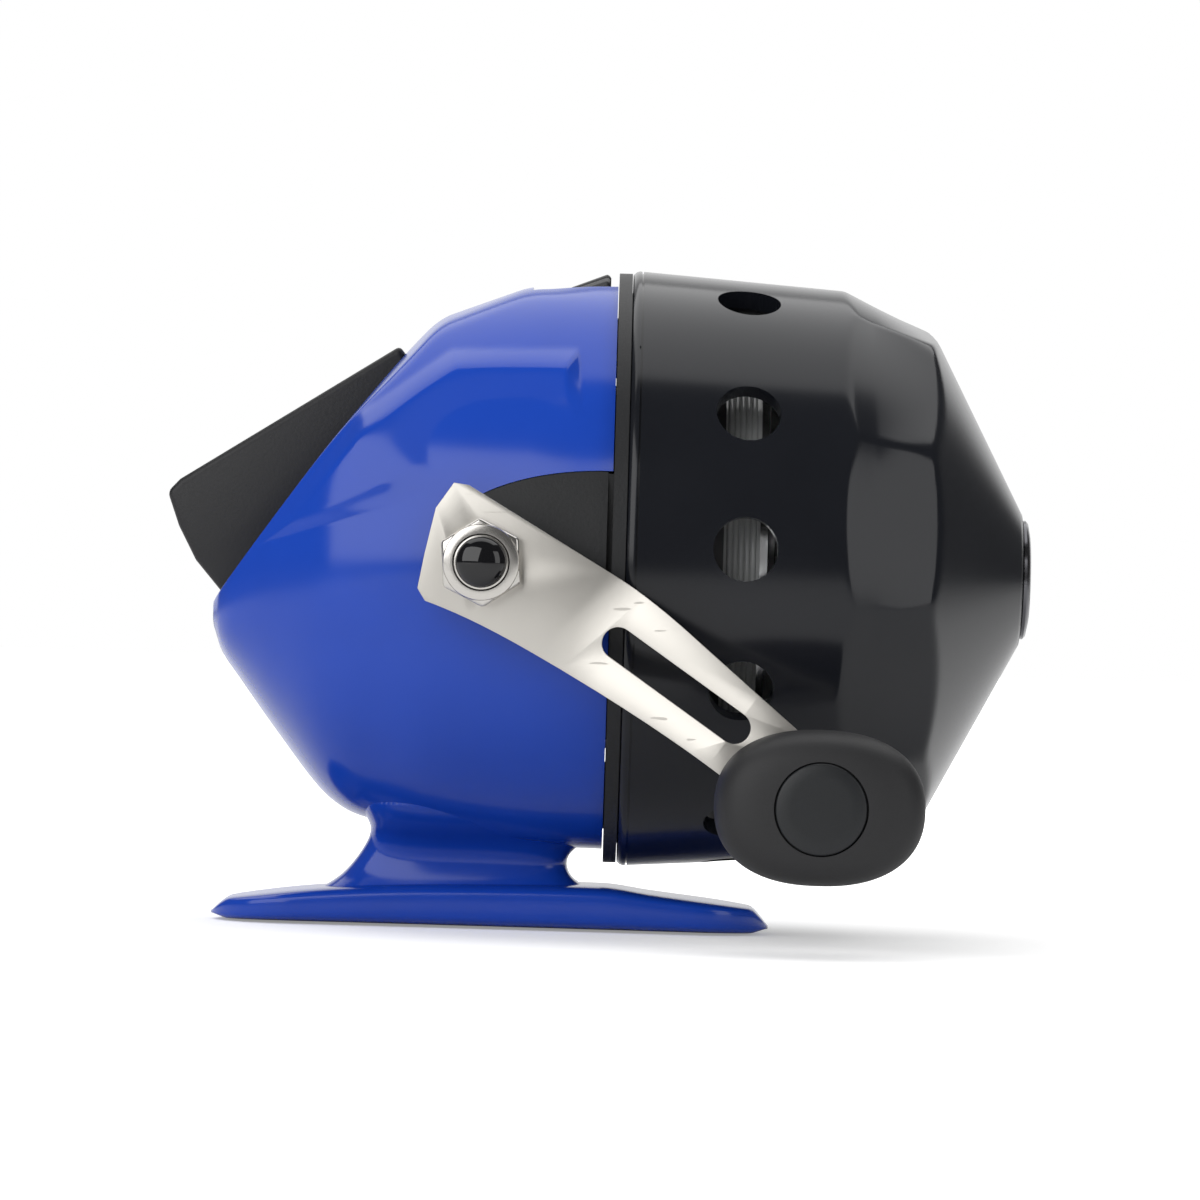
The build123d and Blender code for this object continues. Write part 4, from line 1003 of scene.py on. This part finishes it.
class REEL_OT_thumb_button(bpy.types.Operator):
    """Thumb button in the sloping face"""

    bl_idname = "reel.thumb_button"
    bl_label = "Thumb button"

    def execute(self, context):
        reach = 30.05
        skirt = []
        for step in range(9):
            angle = math.radians(-128.7 + 1.2 * step)
            skirt.append((PIVOT[0] + reach * math.cos(angle), PIVOT[1] + reach * math.sin(angle)))
        under = [(-35.0, -5.0), (-34.3, -2.1), (-32.7, 5.7), (-21.0, 17.7)]
        outline = list(BUTTON_FACE) + skirt + under
        button = prism("thumb_button_shell", outline, -8.5, 8.5, spot)
        bevelled(button, 0.0011, 4, 25)
        room = ((-26.5, 17.6), (-42.5, 6.2), (-41.8, 2.2), (-39.8, -1.6), (-30.0, -9.0), (-24.0, 8.0))
        hollow = prism("hollow", room, -6.5, 6.5, spot)
        pin = lathe("pin_bore", ((0.0, 0.00108), (0.04, 0.00108)), spot(*PIVOT, -20.0), (0, -1, 0), 48)
        cut(button, hollow, pin)
        bake(button, 35)
        ride_as(button, "thumb_button", ["thumb_button"], "button_plastic")
        return {"FINISHED"}


# ------------------------------------------------------------------ drag dial and line
DIAL_UP = 23.0
DIAL_STEPS = 384
STRAND_RADIUS = 0.00036


def dial_tree(material):
    """Drag wheel skin: a wheel that widens to the front, with flutes set out round its rim."""
    tree = Tree(
        "drag wheel skin",
        (
            ("Flutes", "NodeSocketInt", 24),
            ("Flute Depth", "NodeSocketFloat", 0.42),
            ("Rear Radius", "NodeSocketFloat", 6.9),
            ("Front Radius", "NodeSocketFloat", 8.75),
            ("Rear Place", "NodeSocketFloat", -5.6),
            ("Width", "NodeSocketFloat", 4.7),
            ("Edge Round", "NodeSocketFloat", 0.55),
            ("Dial Height", "NodeSocketFloat", AXIS_HEIGHT + DIAL_UP * MM),
            ("Deck Place", "NodeSocketFloat", DECK_X),
        ),
    )
    grid = tree.node(
        "GeometryNodeMeshGrid", Size_X=1.0, Size_Y=1.0, Vertices_X=34, Vertices_Y=DIAL_STEPS + 1
    )
    place = tree.node("ShaderNodeSeparateXYZ", Vector=tree.node("GeometryNodeInputPosition").outputs[0])
    share = tree.maths("ADD", place.outputs["X"], 0.5)
    turn = tree.maths("MULTIPLY", place.outputs["Y"], 2 * math.pi)
    width = tree.value("Width")
    across = tree.maths("MULTIPLY", share, width)
    growth = tree.maths("SUBTRACT", tree.value("Front Radius"), tree.value("Rear Radius"))
    rim = tree.maths("ADD", tree.value("Rear Radius"), tree.maths("MULTIPLY", growth, share))
    wave = tree.maths("COSINE", tree.maths("MULTIPLY", turn, tree.value("Flutes")))
    dip = tree.maths(
        "MULTIPLY", tree.maths("POWER", tree.maths("MAXIMUM", wave, 0.0), 1.6), tree.value("Flute Depth")
    )
    edge = tree.maths("MINIMUM", across, tree.maths("SUBTRACT", width, across))
    near = tree.maths(
        "MAXIMUM", tree.maths("SUBTRACT", 1.0, tree.maths("DIVIDE", edge, tree.value("Edge Round"))), 0.0
    )
    rounding = tree.maths("MULTIPLY", tree.maths("POWER", near, 2.0), tree.value("Edge Round"))
    radius = tree.maths("SUBTRACT", tree.maths("SUBTRACT", rim, dip), rounding)
    metres = tree.maths("MULTIPLY", radius, MM)
    along = tree.maths("ADD", tree.value("Rear Place"), across)
    spot_node = tree.node(
        "ShaderNodeCombineXYZ",
        X=tree.maths("ADD", tree.maths("MULTIPLY", along, MM), tree.value("Deck Place")),
        Y=tree.maths("MULTIPLY", metres, tree.maths("COSINE", turn)),
        Z=tree.maths(
            "ADD", tree.maths("MULTIPLY", metres, tree.maths("SINE", turn)), tree.value("Dial Height")
        ),
    )
    skin = tree.node(
        "GeometryNodeSetPosition", Geometry=grid.outputs["Mesh"], Position=spot_node.outputs[0]
    )
    merged = tree.node("GeometryNodeMergeByDistance", Geometry=skin.outputs[0], Distance=1e-6)
    tree.finish(merged.outputs[0], material)
    return tree


class REEL_OT_drag_dial(bpy.types.Operator):
    """Fluted drag wheel on its plain stem"""

    bl_idname = "reel.drag_dial"
    bl_label = "Drag dial"

    def execute(self, context):
        wheel = dial_tree(MATERIALS["dial_plastic"]).piece("drag_wheel")
        fill_ends(wheel)
        stem = lathe("stem", ((0.0, 0.0015), (0.0136, 0.0015)), spot(-8.2, DIAL_UP), (1, 0, 0), 48)
        dial = join("drag_dial_wheel", wheel, stem)
        bake(dial, 40)
        ride_as(dial, "drag_dial", ["drag_dial"], "dial_plastic")
        return {"FINISHED"}


def line_tree(material):
    """The wound line: one strand swept round the spool in a helix."""
    tree = Tree(
        "wound line",
        (
            ("Turns", "NodeSocketFloat", 15.0),
            ("Turn Steps", "NodeSocketFloat", 72.0),
            ("Winding Radius", "NodeSocketFloat", 0.02298),
            ("Strand Radius", "NodeSocketFloat", STRAND_RADIUS),
            ("Winding Width", "NodeSocketFloat", 0.0095),
            ("Start Place", "NodeSocketVector", (0.0, 0.0, 0.0)),
        ),
    )
    steps = tree.maths("MULTIPLY", tree.value("Turns"), tree.value("Turn Steps"))
    strand = tree.node("GeometryNodeMeshLine", Count=steps)
    order = tree.node("GeometryNodeInputIndex").outputs[0]
    angle = tree.maths("MULTIPLY", tree.maths("DIVIDE", order, tree.value("Turn Steps")), 2 * math.pi)
    travel = tree.maths(
        "MULTIPLY", tree.maths("DIVIDE", order, tree.maths("SUBTRACT", steps, 1.0)),
        tree.value("Winding Width")
    )
    offset = tree.node(
        "ShaderNodeCombineXYZ",
        X=travel,
        Y=tree.maths("MULTIPLY", tree.value("Winding Radius"), tree.maths("COSINE", angle)),
        Z=tree.maths("MULTIPLY", tree.value("Winding Radius"), tree.maths("SINE", angle)),
    )
    placed = tree.node("ShaderNodeVectorMath", {"operation": "ADD"})
    tree.put(placed.inputs[0], offset.outputs[0])
    tree.put(placed.inputs[1], tree.value("Start Place"))
    laid = tree.node("GeometryNodeSetPosition", Geometry=strand.outputs["Mesh"], Position=placed.outputs[0])
    path = tree.node("GeometryNodeMeshToCurve", Mesh=laid.outputs[0])
    ring = tree.node("GeometryNodeCurvePrimitiveCircle", Resolution=8, Radius=tree.value("Strand Radius"))
    swept = tree.node(
        "GeometryNodeCurveToMesh", Curve=path.outputs[0], Profile_Curve=ring.outputs[0], Fill_Caps=True
    )
    smooth = tree.node("GeometryNodeSetShadeSmooth", Geometry=swept.outputs[0])
    tree.finish(smooth.outputs[0], material)
    return tree


class REEL_OT_line(bpy.types.Operator):
    """Line wound on the spool"""

    bl_idname = "reel.line"
    bl_label = "Wound line"

    def execute(self, context):
        low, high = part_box("line_winding")
        width = high[0] - low[0]
        outer = (high[2] - low[2]) / 2
        start = (low[0] + STRAND_RADIUS, 0.0, AXIS_HEIGHT)
        line = line_tree(MATERIALS["fishing_line"]).piece(
            "wound_strand",
            Turns=round(width / (STRAND_RADIUS * 2.06)),
            Winding_Radius=outer - STRAND_RADIUS,
            Strand_Radius=STRAND_RADIUS,
            Winding_Width=width - 2 * STRAND_RADIUS,
            Start_Place=start,
        )
        core = cad_copy("winding_core", "line_winding")
        for vertex in core.data.vertices:
            across = math.hypot(vertex.co.y, vertex.co.z - AXIS_HEIGHT)
            if across > outer - STRAND_RADIUS:
                share = (outer - STRAND_RADIUS) / across
                vertex.co.y *= share
                vertex.co.z = AXIS_HEIGHT + (vertex.co.z - AXIS_HEIGHT) * share
        winding = join("line_winding_strands", line, core)
        bake(winding, 60)
        ride_as(winding, "spool", ["line_winding"], "fishing_line")
        return {"FINISHED"}


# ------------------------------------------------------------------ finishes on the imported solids
class REEL_OT_finishes(bpy.types.Operator):
    """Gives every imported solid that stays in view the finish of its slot"""

    bl_idname = "reel.finishes"
    bl_label = "Finishes"

    def execute(self, context):
        for part in frame["record"]["subparts"]:
            node = NODES.get(part["node"])
            if node is None:
                continue
            material = MATERIALS[part["material_slot"]]
            node.data.materials.clear()
            node.data.materials.append(material)
        return {"FINISHED"}


# ------------------------------------------------------------------ stage
CAMERA_PLACE = (0.0109, -0.75, 0.0353)
CAMERA_ROLL = math.radians(1.70)
CAMERA_LENS = 208.8
WORLD_LIGHT = 0.50  # strength of the world's light on the reel
REFLECTED_LOW = 0.10  # world as reflections see it, in directions other than behind the reel
REFLECTED_FADE = (0.76, 0.92)  # how squarely a ray points behind the reel, from low to white
FLOOR_FADE = (0.08, 0.28)  # distance over which the floor turns white for the camera
FLOOR_LOW = 0.28


def set_range(node, given, wanted):
    """Sets the two ends of a Map Range node."""
    for name, value in zip(("From Min", "From Max", "To Min", "To Max"), given + wanted):
        node.inputs[name].default_value = value


def soft_box(name, place, aim, size, power):
    """Rectangular soft light."""
    data = bpy.data.lights.new(name, "AREA")
    data.shape = "RECTANGLE"
    data.size, data.size_y = size
    data.energy = power
    lamp = bpy.data.objects.new(name, data)
    lamp.location = place
    lamp.rotation_euler = (Vector(aim) - Vector(place)).to_track_quat("-Z", "Y").to_euler()
    bpy.context.scene.collection.objects.link(lamp)


class REEL_OT_stage(bpy.types.Operator):
    """Pale floor, soft light and the camera"""

    bl_idname = "reel.stage"
    bl_label = "Stage"

    def execute(self, context):
        scene = context.scene
        scene.view_settings.view_transform = "Standard"
        world = bpy.data.worlds.new("studio")
        scene.world = world
        world.use_nodes = True
        tree = world.node_tree
        tree.nodes.clear()
        path = tree.nodes.new("ShaderNodeLightPath")
        direction = tree.nodes.new("ShaderNodeTexCoord")
        split = tree.nodes.new("ShaderNodeSeparateXYZ")
        tree.links.new(direction.outputs["Generated"], split.inputs["Vector"])
        behind = tree.nodes.new("ShaderNodeMapRange")
        set_range(behind, REFLECTED_FADE, (REFLECTED_LOW, 1.0))
        behind.interpolation_type = "SMOOTHSTEP"
        tree.links.new(split.outputs["Y"], behind.inputs["Value"])
        gloss = maths(tree, "MULTIPLY", behind.outputs["Result"], path.outputs["Is Glossy Ray"])
        seen = maths(tree, "MAXIMUM", path.outputs["Is Camera Ray"], path.outputs["Is Transmission Ray"])
        shown = maths(tree, "MAXIMUM", seen, gloss)
        other = maths(tree, "SUBTRACT", 1.0, maths(tree, "MAXIMUM", seen, path.outputs["Is Glossy Ray"]))
        strength = maths(tree, "ADD", shown, maths(tree, "MULTIPLY", other, WORLD_LIGHT))
        plain = tree.nodes.new("ShaderNodeBackground")
        plain.inputs["Color"].default_value = (1, 1, 1, 1)
        tree.links.new(strength, plain.inputs["Strength"])
        out = tree.nodes.new("ShaderNodeOutputWorld")
        tree.links.new(plain.outputs[0], out.inputs["Surface"])
        floor_rows = [[Vector((x, y, -0.0002)) for x in (-3, 3)] for y in (-3, 3)]
        floor = grid_piece("floor", floor_rows, False, (False, False))
        paper = Paint("pale floor")
        paper.two_colours((0.80, 0.80, 0.80), (0.84, 0.84, 0.84), noise(paper.tree, paper.place, 6.0))
        paper.set(Roughness=0.9, Specular_IOR_Level=0.0, Emission_Color=(1, 1, 1, 1))
        floor_path = paper.tree.nodes.new("ShaderNodeLightPath")
        away = paper.tree.nodes.new("ShaderNodeVectorMath")
        away.operation = "LENGTH"
        paper.tree.links.new(paper.place, away.inputs[0])
        fade = paper.tree.nodes.new("ShaderNodeMapRange")
        set_range(fade, FLOOR_FADE, (FLOOR_LOW, 1.0))
        paper.tree.links.new(away.outputs["Value"], fade.inputs["Value"])
        lift = maths(paper.tree, "MULTIPLY", floor_path.outputs["Is Camera Ray"], fade.outputs["Result"])
        paper.tree.links.new(lift, paper.shader.inputs["Emission Strength"])
        floor.data.materials.append(paper.material)
        soft_box("overhead", (0.02, 0.22, 0.66), (0.02, 0, 0.04), (1.0, 0.85), 4.4)
        soft_box("front_left", (-0.46, -0.66, 0.40), (0.01, 0, 0.04), (0.95, 0.70), 5.2)
        soft_box("front_right", (0.64, -0.50, 0.27), (0.02, 0, 0.04), (0.34, 0.50), 0.9)
        data = bpy.data.cameras.new("camera")
        camera = bpy.data.objects.new("camera", data)
        scene.collection.objects.link(camera)
        right = Vector((math.cos(CAMERA_ROLL), 0, math.sin(CAMERA_ROLL)))
        up = Vector((-math.sin(CAMERA_ROLL), 0, math.cos(CAMERA_ROLL)))
        back = right.cross(up)
        turn = Matrix((right, up, back)).transposed().to_4x4()
        camera.matrix_world = Matrix.Translation(CAMERA_PLACE) @ turn
        data.sensor_width = 36.0
        data.lens = CAMERA_LENS
        scene.camera = camera
        return {"FINISHED"}


# ------------------------------------------------------------------ panel and run
class ReelSizes(bpy.types.PropertyGroup):
    """Sizes that a user would change"""

    facets: bpy.props.IntProperty(
        name="Facets", description="Flat faces round the front cover's cone", default=10, min=3
    )


class ReelColours(bpy.types.PropertyGroup):
    """Colours that a user would change"""

    blue: bpy.props.FloatVectorProperty(
        name="Shell", description="Rear cover colour", subtype="COLOR", size=3, default=(
            0.007, 0.048, 0.37
        ), min=0, max=1
    )


STEPS = (
    REEL_OT_stage,
    REEL_OT_rear_cover,
    REEL_OT_front_cover,
    REEL_OT_line_guide,
    REEL_OT_handle,
    REEL_OT_knob,
    REEL_OT_thumb_button,
    REEL_OT_drag_dial,
    REEL_OT_line,
    REEL_OT_finishes,
)


class REEL_PT_panel(bpy.types.Panel):
    """The reel's pieces"""

    bl_idname = "REEL_PT_panel"
    bl_label = "Spincast reel"
    bl_space_type = "VIEW_3D"
    bl_region_type = "UI"
    bl_category = "Reel"

    def draw(self, context):
        for step in STEPS:
            self.layout.operator(step.bl_idname)


CLASSES = (ReelSizes, ReelColours) + STEPS + (REEL_PT_panel,)


def register():
    for made in CLASSES:
        bpy.utils.register_class(made)
    bpy.types.Scene.reel_sizes = bpy.props.PointerProperty(type=ReelSizes)
    bpy.types.Scene.reel_colours = bpy.props.PointerProperty(type=ReelColours)


def unregister():
    del bpy.types.Scene.reel_colours
    del bpy.types.Scene.reel_sizes
    for made in reversed(CLASSES):
        bpy.utils.unregister_class(made)


def main():
    """Builds every piece in order."""
    register()
    build_materials(tuple(bpy.context.scene.reel_colours.blue))
    for step in STEPS:
        group, name = step.bl_idname.split(".")
        getattr(getattr(bpy.ops, group), name)()


if __name__ == "__main__":
    main()
